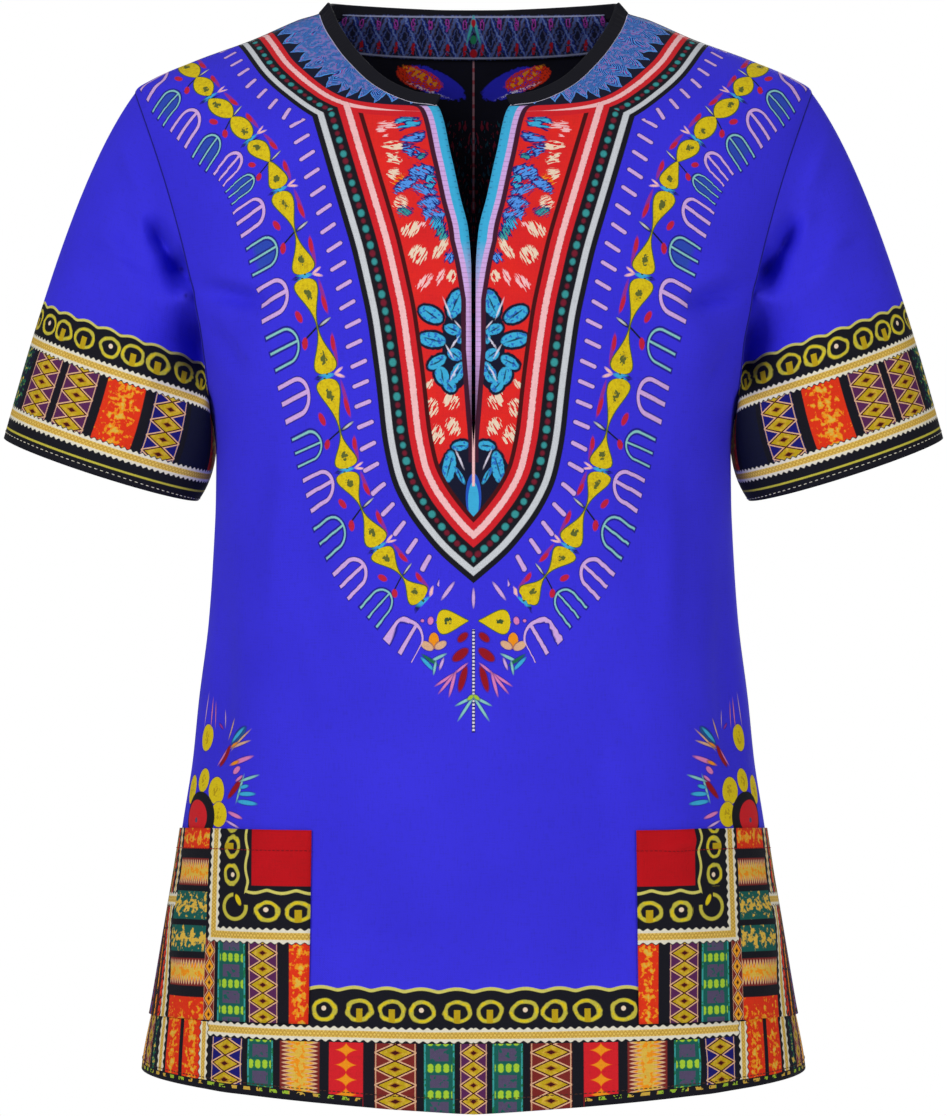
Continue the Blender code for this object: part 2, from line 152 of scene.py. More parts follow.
sleeveFolds = [
    (0.205, -0.215, 0.270, -0.165, 0.0040, 0.011),
    (0.208, -0.255, 0.300, -0.245, -0.0030, 0.014),
    (0.215, -0.290, 0.290, -0.292, 0.0026, 0.013),
]
# Finer creases, laid over the folds the same way.
frontFolds += [
    (-0.196, -0.196, -0.136, -0.211, -0.0100, 0.006),
    (-0.190, -0.184, -0.140, -0.196, 0.0034, 0.009),
    (0.196, -0.196, 0.140, -0.212, -0.0100, 0.006), (0.190, -0.182, 0.138, -0.192, 0.0034, 0.009),
    (-0.190, -0.215, -0.150, -0.262, -0.0050, 0.007),
    (0.192, -0.220, 0.158, -0.270, -0.0060, 0.008),
    (-0.128, -0.290, -0.138, -0.440, 0.0035, 0.010),
    (-0.112, -0.300, -0.106, -0.520, -0.0029, 0.014),
    (0.134, -0.300, 0.128, -0.480, 0.0032, 0.011), (0.096, -0.440, 0.086, -0.600, -0.0026, 0.012),
    (-0.118, -0.410, -0.094, -0.520, 0.0029, 0.009), (0.088, -0.470, 0.104, -0.560, 0.0029, 0.010),
    (-0.170, -0.360, -0.176, -0.560, -0.0038, 0.010),
    (0.172, -0.350, 0.178, -0.560, -0.0038, 0.010),
    (-0.085, -0.620, 0.000, -0.634, 0.0016, 0.006), (0.020, -0.600, 0.085, -0.585, -0.0016, 0.007),
    (-0.098, -0.585, -0.094, -0.660, -0.0019, 0.005),
    (0.100, -0.590, 0.098, -0.650, -0.0016, 0.005),
    (0.118, -0.580, 0.160, -0.568, 0.0022, 0.004), (-0.205, -0.600, -0.190, -0.690, 0.0032, 0.010),
    (0.205, -0.605, 0.192, -0.690, 0.0032, 0.010), (-0.060, -0.700, -0.052, -0.756, 0.0035, 0.012),
    (0.044, -0.700, 0.050, -0.756, -0.0032, 0.012), (-0.160, -0.705, -0.170, -0.750, 0.0032, 0.010),
    (0.150, -0.705, 0.164, -0.750, 0.0029, 0.010),
]
backFolds += [
    (-0.186, -0.200, -0.120, -0.214, -0.0042, 0.009),
    (0.186, -0.204, 0.130, -0.216, -0.0042, 0.009),
    (-0.060, -0.180, 0.030, -0.300, 0.0026, 0.014), (0.120, -0.320, 0.060, -0.430, -0.0029, 0.012),
    (-0.140, -0.330, -0.110, -0.480, 0.0032, 0.012), (0.160, -0.460, 0.150, -0.640, 0.0032, 0.012),
    (-0.160, -0.480, -0.150, -0.660, -0.0032, 0.012),
]
sleeveCreases = [
    (0.226, -0.146, 0.200, -0.190, -0.0260, 0.0070),
    (0.206, -0.170, 0.194, -0.202, -0.0320, 0.0100),
    (0.195, -0.202, 0.184, -0.270, -0.0420, 0.0110),
    (0.208, -0.206, 0.196, -0.276, -0.0200, 0.0170),
    (0.236, -0.138, 0.206, -0.188, 0.0050, 0.0052), (0.208, -0.184, 0.193, -0.203, 0.0050, 0.0044),
    (0.250, -0.084, 0.226, -0.140, 0.0030, 0.0060), (0.262, -0.150, 0.232, -0.190, 0.0045, 0.0075),
    (0.276, -0.158, 0.224, -0.184, -0.0024, 0.0032), (0.262, -0.200, 0.238, -0.272, 0.0030, 0.0110),
    (0.296, -0.190, 0.276, -0.270, -0.0018, 0.0080), (0.226, -0.236, 0.222, -0.300, 0.0028, 0.0080),
]


# A cubic through a table's rows whose slopes never overshoot.
def throughTable(z, column, table=sections):
    at, value = table[:, 0], table[:, column]
    slope = np.diff(value) / np.diff(at)
    before, after = slope[:-1], slope[1:]
    level = before * after <= 0
    mean = 2 * before * after / np.where(level, 1, before + after)
    ends = np.concatenate([slope[:1], np.where(level, 0, mean), slope[-1:]])
    z = np.clip(z, at[0], at[-1])
    i = np.clip(np.searchsorted(at, z) - 1, 0, len(at) - 2)
    width = at[i + 1] - at[i]
    u = (z - at[i]) / width
    bend = (ends[i] * (1 - u) - ends[i + 1] * u) * u * (1 - u) * width
    return value[i] + (value[i + 1] - value[i]) * (3 - 2 * u) * u * u + bend


def halfWidth(z):
    return throughTable(z, 1)


# The armhole leans in below the shoulder: x rises as the height's power.
def armholeX(z):
    (lowX, lowZ), (highX, highZ) = form["underarm"], form["shoulder"]
    rise = np.clip((z - lowZ) / (highZ - lowZ), 0, 1)
    return lowX + (highX - lowX) * rise ** form["armholeBend"]


# The angle round the rounded section: 0 at the side seam, a quarter turn at the centre.
def turnOf(x, z):
    return np.arccos(np.clip(np.abs(x) / halfWidth(z), 0, 1) ** (form["roundness"] / 2))


# The sum of soft ridges and troughs, each a bell curve across its line that fades at its ends.
def folded(x, z, folds):
    total = np.zeros(np.broadcast(x, z).shape)
    for fromX, fromZ, toX, toZ, height, width in folds:
        along = np.array([toX - fromX, toZ - fromZ])
        reach = np.hypot(*along)
        along = along / reach
        s = ((x - fromX) * along[0] + (z - fromZ) * along[1]) / reach
        t = (x - fromX) * along[1] - (z - fromZ) * along[0]
        ends = np.clip(form["foldEnds"] - np.abs(2 * s - 1), 0, 1)
        total += height * np.exp(-((t / width) ** 2)) * ends * ends * (3 - 2 * ends)
    return total


# A point of the body: x is the width times a power of the cosine, y the depth times the same power
# of the sine, moved out along the section's normal by the folds.
def bodyPoint(turn, z, side, face, folds):
    power = 2 / form["roundness"]
    width = halfWidth(z)
    depth = throughTable(z, 2 if face < 0 else 3)
    across, ahead = np.cos(turn) ** power, np.sin(turn) ** power
    x, y = side * width * across, face * depth * ahead
    normal = np.stack([side * across ** (form["roundness"] - 1) / width,
                       face * ahead ** (form["roundness"] - 1) / depth])
    normal = normal / np.hypot(*normal)
    besideSleeve = np.clip((z - form["noSleeve"]) / form["sleeveFade"], 0, 1)
    edge = np.clip((np.sin(turn) - form["foldsFrom"] * besideSleeve) * form["foldsRise"], 0, 1)
    lift = folded(x, z, folds) * edge
    return np.stack([x + normal[0] * lift, y + normal[1] * lift, z + 0 * x], axis=-1)


def rowsOf(table):
    keys = np.concatenate([[0], np.cumsum(table[:-1, 3])])
    keyed = np.column_stack([keys, table[:, :3]])
    at = np.arange(keys[-1] + 1)
    return [throughTable(at, k, keyed) for k in (1, 2, 3)]


# Where every mesh point of half a panel lies: its turn and its height, centre to side.
def halfPanel(table, columns):
    inX, inZ, outZ = rowsOf(table)
    openSide = outZ > form["underarm"][1]
    outX = np.where(openSide, armholeX(outZ), halfWidth(outZ))
    inTurn = np.where(inX > 0, turnOf(inX, inZ), np.pi / 2)
    outTurn = np.where(openSide, turnOf(outX, outZ), 0)
    inTurn[-1] = outTurn[-1] = 0
    s = np.linspace(0, 1, columns + 1)[None, :]
    turn = inTurn[:, None] * (1 - s) + outTurn[:, None] * s
    bend = np.where(outZ < form["pocketFoot"], form["hemBend"], 1)[:, None]
    z = outZ[:, None] + (inZ - outZ)[:, None] * (1 - s) ** bend
    return turn, z


def gridFaces(index):
    a, b, c, d = index[:-1, :-1], index[:-1, 1:], index[1:, 1:], index[1:, :-1]
    return np.stack([a, b, c, d], axis=-1).reshape(-1, 4)


def vertexNormals(points, faces):
    corners = points[faces]
    normal = np.cross(corners[:, 2] - corners[:, 0], corners[:, 3] - corners[:, 1])
    total = np.stack([np.bincount(faces.T.ravel(), np.tile(normal[:, k], 4), len(points))
                      for k in range(3)], axis=1)
    return total / np.linalg.norm(total, axis=1)[:, None]


def unit(vectors):
    return vectors / np.linalg.norm(vectors, axis=-1, keepdims=True)


# The edges that only one face has, in the order that face runs them.
def borderEdges(faces, count):
    edges = np.concatenate([faces[:, [k, (k + 1) % 4]] for k in range(4)])
    forward = edges[:, 0] * count + edges[:, 1]
    backward = edges[:, 1] * count + edges[:, 0]
    return edges[~np.isin(forward, backward)]


def placed(name, data):
    made = bpy.data.objects.new(name, data)
    bpy.context.scene.collection.objects.link(made)
    return made


# A closed piece from its points and faces.
def solidPiece(name, points, faces, material, smooth=True):
    mesh = bpy.data.meshes.new(name)
    mesh.from_pydata(points.reshape(-1, 3).tolist(), [], faces)
    mesh.polygons.foreach_set("use_smooth", np.full(len(faces), smooth))
    mesh.materials.append(material)
    mesh.validate()
    return placed(name, mesh)


# The quads of a tube, ring by ring, with a face over each end unless it runs round to its start.
def tubeFaces(stations, sides, closed=False):
    index = np.arange(stations * sides).reshape(-1, sides)
    rings = np.concatenate([index, index[:1]]) if closed else index
    faces = gridFaces(np.concatenate([rings, rings[:, :1]], axis=1)).tolist()
    return faces if closed else faces + [index[0, ::-1].tolist(), index[-1].tolist()]


# A thin closed wall of cloth: the outer layer, the inner one turned over, and the cut edge between.
def clothWall(name, outer, inner, faces, marks=None, cloths=(), chosen=None, inside=None):
    if (vertexNormals(outer, faces) * (outer - inner)).sum() < 0:
        faces = faces[:, ::-1]
    count = len(outer)
    edges = borderEdges(faces, count)
    a, b = edges.T
    sides = np.stack([a, a + count, b + count, b], axis=1)
    quads = np.concatenate([faces, faces[:, ::-1] + count, sides])
    mesh = bpy.data.meshes.new(name)
    points = np.concatenate([outer, inner])
    mesh.vertices.add(len(points))
    mesh.vertices.foreach_set("co", points.astype(np.float32).ravel())
    mesh.loops.add(quads.size)
    mesh.loops.foreach_set("vertex_index", quads.astype(np.int32).ravel())
    mesh.polygons.add(len(quads))
    mesh.polygons.foreach_set("loop_start", np.arange(0, quads.size, 4, dtype=np.int32))
    mesh.polygons.foreach_set("loop_total", np.full(len(quads), 4, np.int32))
    mesh.polygons.foreach_set("use_smooth", np.ones(len(quads), bool))
    for cloth in cloths:
        mesh.materials.append(cloth)
    if chosen is not None:
        lined = chosen if inside is None else np.full(len(faces), inside)
        slots = np.concatenate([chosen, lined, np.zeros(len(sides), int)])
        mesh.polygons.foreach_set("material_index", slots.astype(np.int32))
    for mark, values in (marks or {}).items():
        held = mesh.attributes.new(mark, "FLOAT_VECTOR", "POINT")
        held.data.foreach_set("vector", np.concatenate([values, values]).astype(np.float32).ravel())
    mesh.update(calc_edges=True)
    mesh.validate()
    return placed(name, mesh)


# Both halves of a panel, joined wherever the centre isn't cut.
def panelMesh(table, face, folds):
    turn, z = halfPanel(table, form["columns"])
    halves, plains, arcs, edges = [], [], [], []
    for side in (-1, 1):
        grid = bodyPoint(turn, z, side, face, folds)
        grid[..., 1] = face * np.maximum(face * grid[..., 1], form["seamGap"] / 2)
        plain = bodyPoint(turn, z, side, face, ())
        steps = np.cumsum(np.linalg.norm(np.diff(plain, axis=1), axis=2), axis=1)
        fromEdge = np.concatenate([0 * steps[:, :1], steps], axis=1)
        halves.append(grid)
        plains.append(plain)
        edges.append(fromEdge)
        arcs.append(side * (np.abs(plain[:, :1, 0]) + fromEdge))
    rows, wide = z.shape
    left = np.arange(rows * wide).reshape(rows, wide)
    right = left + rows * wide
    joined = rowsOf(table)[0] < 1e-6
    right[joined, 0] = left[joined, 0]
    points, plain = (np.concatenate([half.reshape(-1, 3) for half in both])
                     for both in (halves, plains))
    arc, fromEdge = (np.concatenate([a.ravel() for a in both]) for both in (arcs, edges))
    faces = np.concatenate([gridFaces(left)[:, ::-1], gridFaces(right)])
    if face > 0:
        faces = faces[:, ::-1]
    used = np.unique(faces)
    number = np.full(len(points), -1)
    number[used] = np.arange(len(used))
    points, plain, arc, fromEdge = points[used], plain[used], arc[used], fromEdge[used]
    faces = number[faces]
    normals = vertexNormals(points, faces)
    inner = points - normals * form["cloth"]
    inner[:, 1] = face * np.maximum(face * inner[:, 1], form["seamGap"] / 2)
    return {"points": points, "inner": inner, "normals": normals, "faces": faces, "arc": arc,
            "plain": plain, "fromEdge": fromEdge, "left": number[left], "right": number[right],
            "rows": rowsOf(table)}


def shade(red, green, blue):  # a screen colour out of 255 as linear light
    value = np.array([red, green, blue]) / 255
    linear = np.where(value < 0.04045, value / 12.92, ((value + 0.055) / 1.055) ** 2.4)
    return (*linear.tolist(), 1.0)


# A socket that takes part in sums; each sum adds its Math node.
class Wire:
    def __init__(self, dye, socket):
        self.dye, self.socket = dye, socket

    def math(self, operation, *others, clamp=False):
        return self.dye.node("ShaderNodeMath", {"operation": operation, "use_clamp": clamp},
                             dict(enumerate((self, *others))))

    def __add__(self, other):
        return self.math("ADD", other)

    def __sub__(self, other):
        return self.math("SUBTRACT", other)

    def __mul__(self, other):
        return self.math("MULTIPLY", other)

    def __truediv__(self, other):
        return self.math("DIVIDE", other)

    def __rsub__(self, other):
        return self.dye.node("ShaderNodeMath", {"operation": "SUBTRACT"}, {0: other, 1: self})

    def __pow__(self, other):
        return self.math("POWER", other)

    def __abs__(self):
        return self.math("ABSOLUTE")

    def __neg__(self):
        return self.math("MULTIPLY", -1.0)

    def __lt__(self, other):
        return self.math("LESS_THAN", other)

    def __gt__(self, other):
        return self.math("GREATER_THAN", other)

    def __and__(self, other):
        return self.math("MULTIPLY", other)

    def __or__(self, other):
        return self.math("MAXIMUM", other)

    __radd__, __rmul__ = __add__, __mul__

    # 1 where the value is below nought, 0 above, over a soft edge
    def inside(self, edge=0.0005):
        return self.math("MULTIPLY_ADD", -1 / edge, 0.5, clamp=True)

    def near(self, value, reach):
        return self.math("COMPARE", value, reach)


# A material with one running colour that each motif is laid on.
class Dye:
    def __init__(self, name):
        self.material = bpy.data.materials.new(name)
        self.material.use_nodes = True
        self.tree = self.material.node_tree
        self.tree.nodes.clear()
        self.colour = None

    def node(self, kind, settings=None, inputs=None, out=0):
        made = self.tree.nodes.new(kind)
        for key, value in (settings or {}).items():
            if key == "stops":
                ramp = made.color_ramp
                ramp.interpolation = "CONSTANT"
                ramp.elements.remove(ramp.elements[1])
                ramp.elements[0].position, ramp.elements[0].color = value[0]
                for at, tone in value[1:]:
                    ramp.elements.new(at).color = tone
            else:
                setattr(made, key, value)
        for key, value in (inputs or {}).items():
            if isinstance(value, Wire):
                self.tree.links.new(value.socket, made.inputs[key])
            else:
                made.inputs[key].default_value = value
        return Wire(self, made.outputs[out])

    def attribute(self, name):
        return self.node("ShaderNodeAttribute", {"attribute_name": name}, out="Vector")

    def split(self, vector):
        first = self.node("ShaderNodeSeparateXYZ", None, {0: vector})
        node = first.socket.node
        return [Wire(self, node.outputs[k]) for k in range(3)]

    def join(self, x, y, z=1.0):
        return self.node("ShaderNodeCombineXYZ", None, {0: x, 1: y, 2: z})

    def vector(self, operation, first, second=(0, 0, 0)):
        out = 1 if operation in ("LENGTH", "DOT_PRODUCT") else 0
        alone = operation in ("LENGTH", "ABSOLUTE")
        inputs = {0: first} if alone else {0: first, 1: second}
        return self.node("ShaderNodeVectorMath", {"operation": operation}, inputs, out)

    def mix(self, factor, under, over):
        return self.node("ShaderNodeMix", {"data_type": "RGBA"}, {0: factor, 6: under, 7: over}, 2)

    def paint(self, mask, tone):
        self.colour = self.mix(mask, self.colour, tone)

    # The first where a mask is 1, the second where it is nought
    def pick(self, mask, first, second):
        return self.node("ShaderNodeMix", {"data_type": "FLOAT"}, {0: mask, 2: second, 3: first})

    def parts(self, tone):  # a tone's three numbers
        first = self.node("ShaderNodeSeparateColor", None, {0: tone})
        return [Wire(self, first.socket.node.outputs[k]) for k in range(3)]

    # Stripes by a value from low to high: each stop is where a tone starts
    def stripes(self, value, low, high, stops):
        across = value.math("MULTIPLY_ADD", 1 / (high - low), -low / (high - low), clamp=True)
        scaled = [((at - low) / (high - low), tone) for at, tone in stops]
        return self.node("ShaderNodeValToRGB", {"stops": scaled}, {0: across})

    # A place measured along and across a line through (x, y); a place's third number is 1
    def turned(self, place, x, y, degrees):
        c, s = np.cos(np.radians(degrees)), np.sin(np.radians(degrees))
        return (self.vector("DOT_PRODUCT", place, (c, s, -c * x - s * y)),
                self.vector("DOT_PRODUCT", place, (-s, c, s * x - c * y)))

    # How far outside an ellipse a place is, squared: 0 at the centre, 1 on the edge
    def oval(self, place, x, y, long, wide, degrees=0.0):
        c, s = np.cos(np.radians(degrees)), np.sin(np.radians(degrees))
        p = self.vector("DOT_PRODUCT", place, tuple(np.array([c, s, -c * x - s * y]) / long))
        q = self.vector("DOT_PRODUCT", place, tuple(np.array([-s, c, s * x - c * y]) / wide))
        return q.math("MULTIPLY_ADD", q, p * p)

    def spot(self, place, x, y, long, wide, degrees=0.0, edge=0.0006):
        return (self.oval(place, x, y, long, wide, degrees) - 1).inside(2 * edge / wide)

    # A table's row, an oval in millimetres and degrees, grown by a rim
    def fromRow(self, place, row, rim=0.0, sign=1):
        x, z, long, wide, turn = row[:5]
        return self.spot(place, x / 1000, z / 1000, long / 1000 + rim, wide / 1000 + rim,
                         sign * turn)

    # A stroke with round ends, long and wide being its half sizes
    def bar(self, place, x, y, long, wide, degrees=0.0, edge=0.0006):
        p, q = self.turned(place, x, y, degrees)
        past = (abs(p) - long).math("MAXIMUM", 0.0)
        return (q.math("MULTIPLY_ADD", q, past * past).math("SQRT") - wide).inside(edge)

    # Read where the cloth lies, so that no socket changes kind half way through a print
    def noise(self, scale, detail=2.0, place=None):
        if place is None:
            place = self.node("ShaderNodeTexCoord", out="Object")
        return self.node("ShaderNodeTexNoise", {"noise_dimensions": "3D"},
                         {0: place, 2: scale, 3: detail})

    def chance(self, number):  # a random value for each whole number
        return self.node("ShaderNodeTexWhiteNoise", {"noise_dimensions": "1D"}, {1: number})

    # Repeats along a length: the place within one repeat, and its number
    def repeat(self, along, period):
        whole = along * (1 / period)
        number = whole.math("FLOOR")
        return (whole - number - 0.5) * period, number

    # The finished cloth: print in the weave, a slight sheen, fine thread relief.
    def finish(self, cloth):
        u, v, _ = self.split(cloth)
        pitch = weave["thread"]
        rise = (u * (np.pi / pitch)).math("SINE") * (v * (np.pi / pitch)).math("SINE")
        slub, slubV = (self.noise(weave["slub"], 2.0, self.vector("MULTIPLY", cloth, way))
                       for way in ((1, weave["stretch"], 0), (weave["stretch"], 1, 0)))
        threads = slub + slubV
        height = rise.math("MULTIPLY_ADD", weave["round"], threads)
        tone = threads.math("MULTIPLY_ADD", *weave["tone"])
        self.colour = self.mix(tone, (0, 0, 0, 1), self.colour)
        bump = self.node("ShaderNodeBump", None,
                         {"Strength": weave["strength"], "Distance": weave["depth"],
                          "Height": height})
        rough = threads.math("MULTIPLY_ADD", *weave["rough"])
        shader = self.node("ShaderNodeBsdfPrincipled", None,
                           {"Base Color": self.colour, "Roughness": rough, "Normal": bump,
                            "Sheen Weight": weave["sheen"],
                            "Sheen Roughness": weave["sheenRough"],
                            "Specular IOR Level": weave["gloss"]})
        target = self.tree.nodes.new("ShaderNodeOutputMaterial")
        self.tree.links.new(shader.socket, target.inputs[0])
        return self.material


weave = {
    "thread": 0.0006, "slub": 900, "stretch": 0.12, "round": 0.35,
    "strength": 0.35, "depth": 0.0004,
    "tone": (0.34, 0.66), "rough": (0.12, 0.66),  # how far a thread changes each, and its least
    "sheen": 0.03, "sheenRough": 0.4, "gloss": 0.15,
}

tones = {
    "blue": shade(58, 50, 230), "deepBlue": shade(22, 20, 110), "navy": shade(14, 18, 44),
    "black": shade(18, 18, 28), "grey": shade(206, 210, 216), "white": shade(226, 220, 240),
    "teal": shade(56, 158, 160), "darkTeal": shade(32, 86, 150), "dotRed": shade(122, 24, 46),
    "red": shade(214, 30, 40), "fieldRed": shade(240, 42, 28), "maroon": shade(70, 8, 14),
    "pink": shade(250, 194, 196), "lilac": shade(214, 172, 232), "magenta": shade(150, 44, 150),
    "berry": shade(196, 30, 62), "yellow": shade(224, 198, 18), "mustard": shade(190, 160, 18),
    "cyan": shade(60, 176, 222), "midBlue": shade(34, 84, 190), "cream": shade(240, 216, 190),
    "trim": shade(232, 226, 206), "gold": shade(226, 184, 70), "darkGold": shade(176, 124, 24),
    "orange": shade(242, 148, 22), "green": shade(24, 112, 74), "lime": shade(168, 206, 52),
    "purple": shade(88, 36, 84), "brown": shade(124, 38, 34), "sand": shade(226, 178, 140),
    "ring": shade(196, 186, 66), "plum": shade(64, 20, 44), "forkTeal": shade(140, 206, 200),
    "scribble": shade(58, 84, 48), "ember": shade(226, 50, 18), "pine": shade(20, 92, 84),
    "slate": shade(84, 74, 104), "sky": shade(84, 152, 238), "wine": shade(150, 14, 30),
    "rose": shade(224, 128, 190), "pocketRed": shade(204, 10, 26), "dusk": shade(30, 52, 150),
    "steel": shade(62, 96, 168), "mist": shade(120, 142, 190), "straw": shade(236, 208, 116),
    "wave": shade(212, 204, 104),
}


# Even blue cotton, a little clouded.
def blueGround(dye):
    cloud = dye.noise(14)
    dye.colour = dye.mix(cloud.math("MULTIPLY_ADD", 1.2, -0.3, clamp=True),
                         tones["blue"], shade(50, 42, 212))


leafRow = {
    "step": 0.0268, "width": 0.0172, "smallWidth": 0.0064, "lean": 0.0024, "slant": 0.16,
    "archAt": 0.0240, "archRadius": 0.0087, "prong": 0.0125, "wander": 0.0020,
    "frontReach": 0.060, "backReach": 0.042,  # how far out from the row its print goes on
}


# A row of leaves that meet tail to tail at odd numbers, with forks outside them. Half a leaf's
# width is its length's share q squared times the root of one less q cubed; the small
# ones taper at both ends. A fork is half a circle and three lines.
def paintLeafRow(dye, leafAt):
    s, d, _ = dye.split(leafAt)
    step, radius = leafRow["step"], leafRow["archRadius"]
    leaning = s + d * (leafRow["slant"] / step) + 0.08
    whole = leaning.math("ROUND")
    forkSide = abs(leaning - whole) * step
    teal = (whole * 0.5).math("FRACT") > 0.25
    p = d - dye.chance(whole).math("MULTIPLY_ADD", 2 * leafRow["wander"],
                                   leafRow["archAt"] - leafRow["wander"])
    arch = dye.vector("LENGTH", dye.join(p.math("MINIMUM", 0.0), forkSide, 0.0))
    curve = abs(arch - radius)
    prong = forkSide.math("MAXIMUM", -p - radius)
    line = curve.math("MINIMUM", prong).math("MAXIMUM", p - leafRow["prong"])
    line = line / leaning.math("MULTIPLY_ADD", 1.5, 1.0).math("MINIMUM", 1.0)
    row, forks = s > 0.0, leaning > -0.325
    bowl = arch.math("MAXIMUM", p + radius - 0.0080) - radius
    dye.paint(bowl.inside(0.004) & teal & (s > 7.5) & 0.6, tones["darkTeal"])
    dye.paint((line - 0.0017).inside() & forks & 0.8, tones["deepBlue"])
    thick = teal.math("MULTIPLY_ADD", -0.0005, 0.0011)
    dye.paint((line - thick).inside() & forks, dye.mix(teal, tones["lilac"], tones["forkTeal"]))
    # the place along a pair of leaves: 0 where they meet
    a = ((s * 0.5).math("FRACT") - 0.5) * 2
    length = a * step
    side = abs(length)
    place = dye.join(side, d)
    stalk = abs(d.math("MULTIPLY_ADD", 0.5, length)).math("MAXIMUM", abs(d - 0.0064) - 0.0064)
    dye.paint((stalk - 0.0006).inside() & row, tones["navy"])
    for x, y, long, wide, turn, tone in (
            (0.0072, 0.0112, 0.0034, 0.0020, 24, "berry"),
            (0.0142, -0.0086, 0.0085, 0.0013, 4, "magenta"),
            (0.0105, -0.0082, 0.0044, 0.0015, 8, "berry"),
            (0.0252, 0.0030, 0.0066, 0.0008, 78, "navy"),
            (0.0262, 0.0010, 0.0050, 0.0008, 96, "cyan"),
            (0.0256, -0.0078, 0.0032, 0.0008, 70, "pink")):
        dye.paint(dye.spot(place, x, y, long, wide, turn) & row, tones[tone])
    knot = dye.join(length, d)
    dye.paint(dye.spot(knot, 0.0012, -0.0052, 0.0052, 0.0012, 108) & row, tones["navy"])
    dye.paint(dye.spot(knot, 0.0016, -0.0062, 0.0036, 0.0006, 108) & row, tones["grey"])
    q = abs(a) * 1.05
    off = d - q * q * (a > 0).math("MULTIPLY_ADD", leafRow["lean"], 0.0006)
    pear = q * q * (1 - q * q * q).math("SQRT") * leafRow["width"]
    small = (q * (1 - q) * 4).math("MAXIMUM", 0.0) ** 0.8 * leafRow["smallWidth"]
    high = s.math("MULTIPLY_ADD", 0.25, -2.2, clamp=True)
    edge = abs(off) - dye.pick(high, small, pear)
    dye.paint((edge - 0.0008).inside() & (q < 1.03) & row, tones["scribble"])
    mottle = dye.noise(520)
    dye.paint(edge.inside() & (q < 1.0) & row,
              dye.mix(mottle.math("MULTIPLY_ADD", 3, -1.4, clamp=True),
                      tones["yellow"], tones["mustard"]))
    blot = dye.oval(dye.join(side, off), 0.0172, 0.0002, 0.0034, 0.0024)
    dye.paint((blot + mottle.math("MULTIPLY_ADD", 4.4, -2.9)).inside(0.3) & row & 0.9,
              tones["scribble"])


bands = {
    "black": 0.0038, "white": 0.0080, "beads": 0.0183, "red": 0.0225, "pink": 0.0267,
    "innerRed": 0.0309, "maroon": 0.0337, "beadLine": 0.0131, "beadPitch": 0.00565,
    "dashAt": -0.0108, "dashPitch": 0.0138, "dashTurn": 106, "shrink": 0.84,
}


# The panel's border: stripes by the distance inside whichever outline is nearer.
def paintBands(dye, s, d, where):
    a, number = dye.repeat(s, bands["dashPitch"])
    chance = dye.chance(number)
    place = dye.join(a, d + chance.math("MULTIPLY_ADD", 0.0016, -0.0008))
    turn = bands["dashTurn"]
    lean = dye.bar(place, 0, bands["dashAt"], 0.0048, 0.0019, turn)
    dye.paint(lean & where & 0.8, tones["deepBlue"])
    dye.paint(dye.bar(place, 0, bands["dashAt"], 0.0048, 0.0013, turn) & where, tones["lilac"])
    dye.paint((-d).inside(), tones["black"])
    for low, high, tone in (("black", "white", "grey"), ("beads", "red", "red"),
                            ("pink", "innerRed", "red"), ("innerRed", "maroon", "maroon")):
        middle, half = (bands[low] + bands[high]) / 2, (bands[high] - bands[low]) / 2
        dye.paint((abs(d - middle) - half).inside(0.0006), tones[tone])
    ragged = dye.noise(700).math("MULTIPLY_ADD", 0.0012, -0.0006)
    middle, half = (bands["red"] + bands["pink"]) / 2, (bands["pink"] - bands["red"]) / 2
    dye.paint((abs(d + ragged - middle) - half).inside(), tones["pink"])
    a, number = dye.repeat(s, bands["beadPitch"])
    odd = (number * 0.5).math("FRACT") > 0.25
    size = dye.chance(number).math("MULTIPLY_ADD", 0.0007, dye.pick(odd, 0.0013, 0.0018))
    bead = dye.vector("LENGTH", dye.join(a * 0.85, d - bands["beadLine"], 0.0))
    dye.paint((bead - size).inside(0.0012) & 0.9, dye.mix(odd, tones["teal"], tones["dotRed"]))


# Brush marks of the red field: the place (x from the centre, z), half sizes, turn and tone.
# Millimetres and degrees; a turn above nought rises away from the centre.
fieldMarks = [
    (45, -87, 8, 4, 0, "cyan"), (58, -88, 7, 2.0, 6, "pink"), (62, -93, 5, 2.2, 40, "pink"),
    (41, -98, 8, 2.4, -14, "midBlue"), (42, -107, 8, 2.6, 24, "midBlue"),
    (35, -111, 3, 1.6, -30, "teal"), (54, -103, 7, 3.2, 12, "cream"),
    (54, -112, 6, 2.6, 28, "cream"), (35, -122, 8, 4.6, 0, "midBlue"),
    (46, -130, 9, 2.8, -34, "midBlue"), (54, -123, 4.4, 4.0, 0, "cream"),
    (50, -126, 4, 2, -30, "orange"), (33, -134, 8, 2.8, 20, "midBlue"),
    (29, -128, 3, 4.6, 0, "cyan"), (49, -143, 4.6, 5, 0, "cream"),
    (46, -149, 4.6, 2, 14, "teal"), (30, -143, 7, 3.4, -12, "midBlue"),
    (27, -151, 7, 4, 10, "midBlue"), (24, -158, 6, 3.4, 44, "cyan"),
    (21, -164, 5, 2.8, 70, "teal"), (42, -161, 7, 4.6, -26, "cream"),
    (34, -158, 4, 1.6, -20, "pink"), (37, -178, 6, 6, -18, "cream"),
    (22, -174, 8, 3.0, -56, "cream"), (16, -180, 2.6, 3.0, 0, "midBlue"),
    (33, -197, 7, 3.2, -44, "pink"), (22, -193, 5, 2.2, -64, "pink"),
    (14.5, -193, 3, 4, 0, "cream"), (29, -265, 3, 2.0, -44, "cream"),
    (27.5, -281, 4.0, 6.2, 0, "cream"), (14.5, -276, 4.4, 6.6, -30, "cream"),
    (24, -299, 4.2, 7.0, -20, "cream"), (13.5, -294, 4.2, 6.6, -30, "cream"),
]
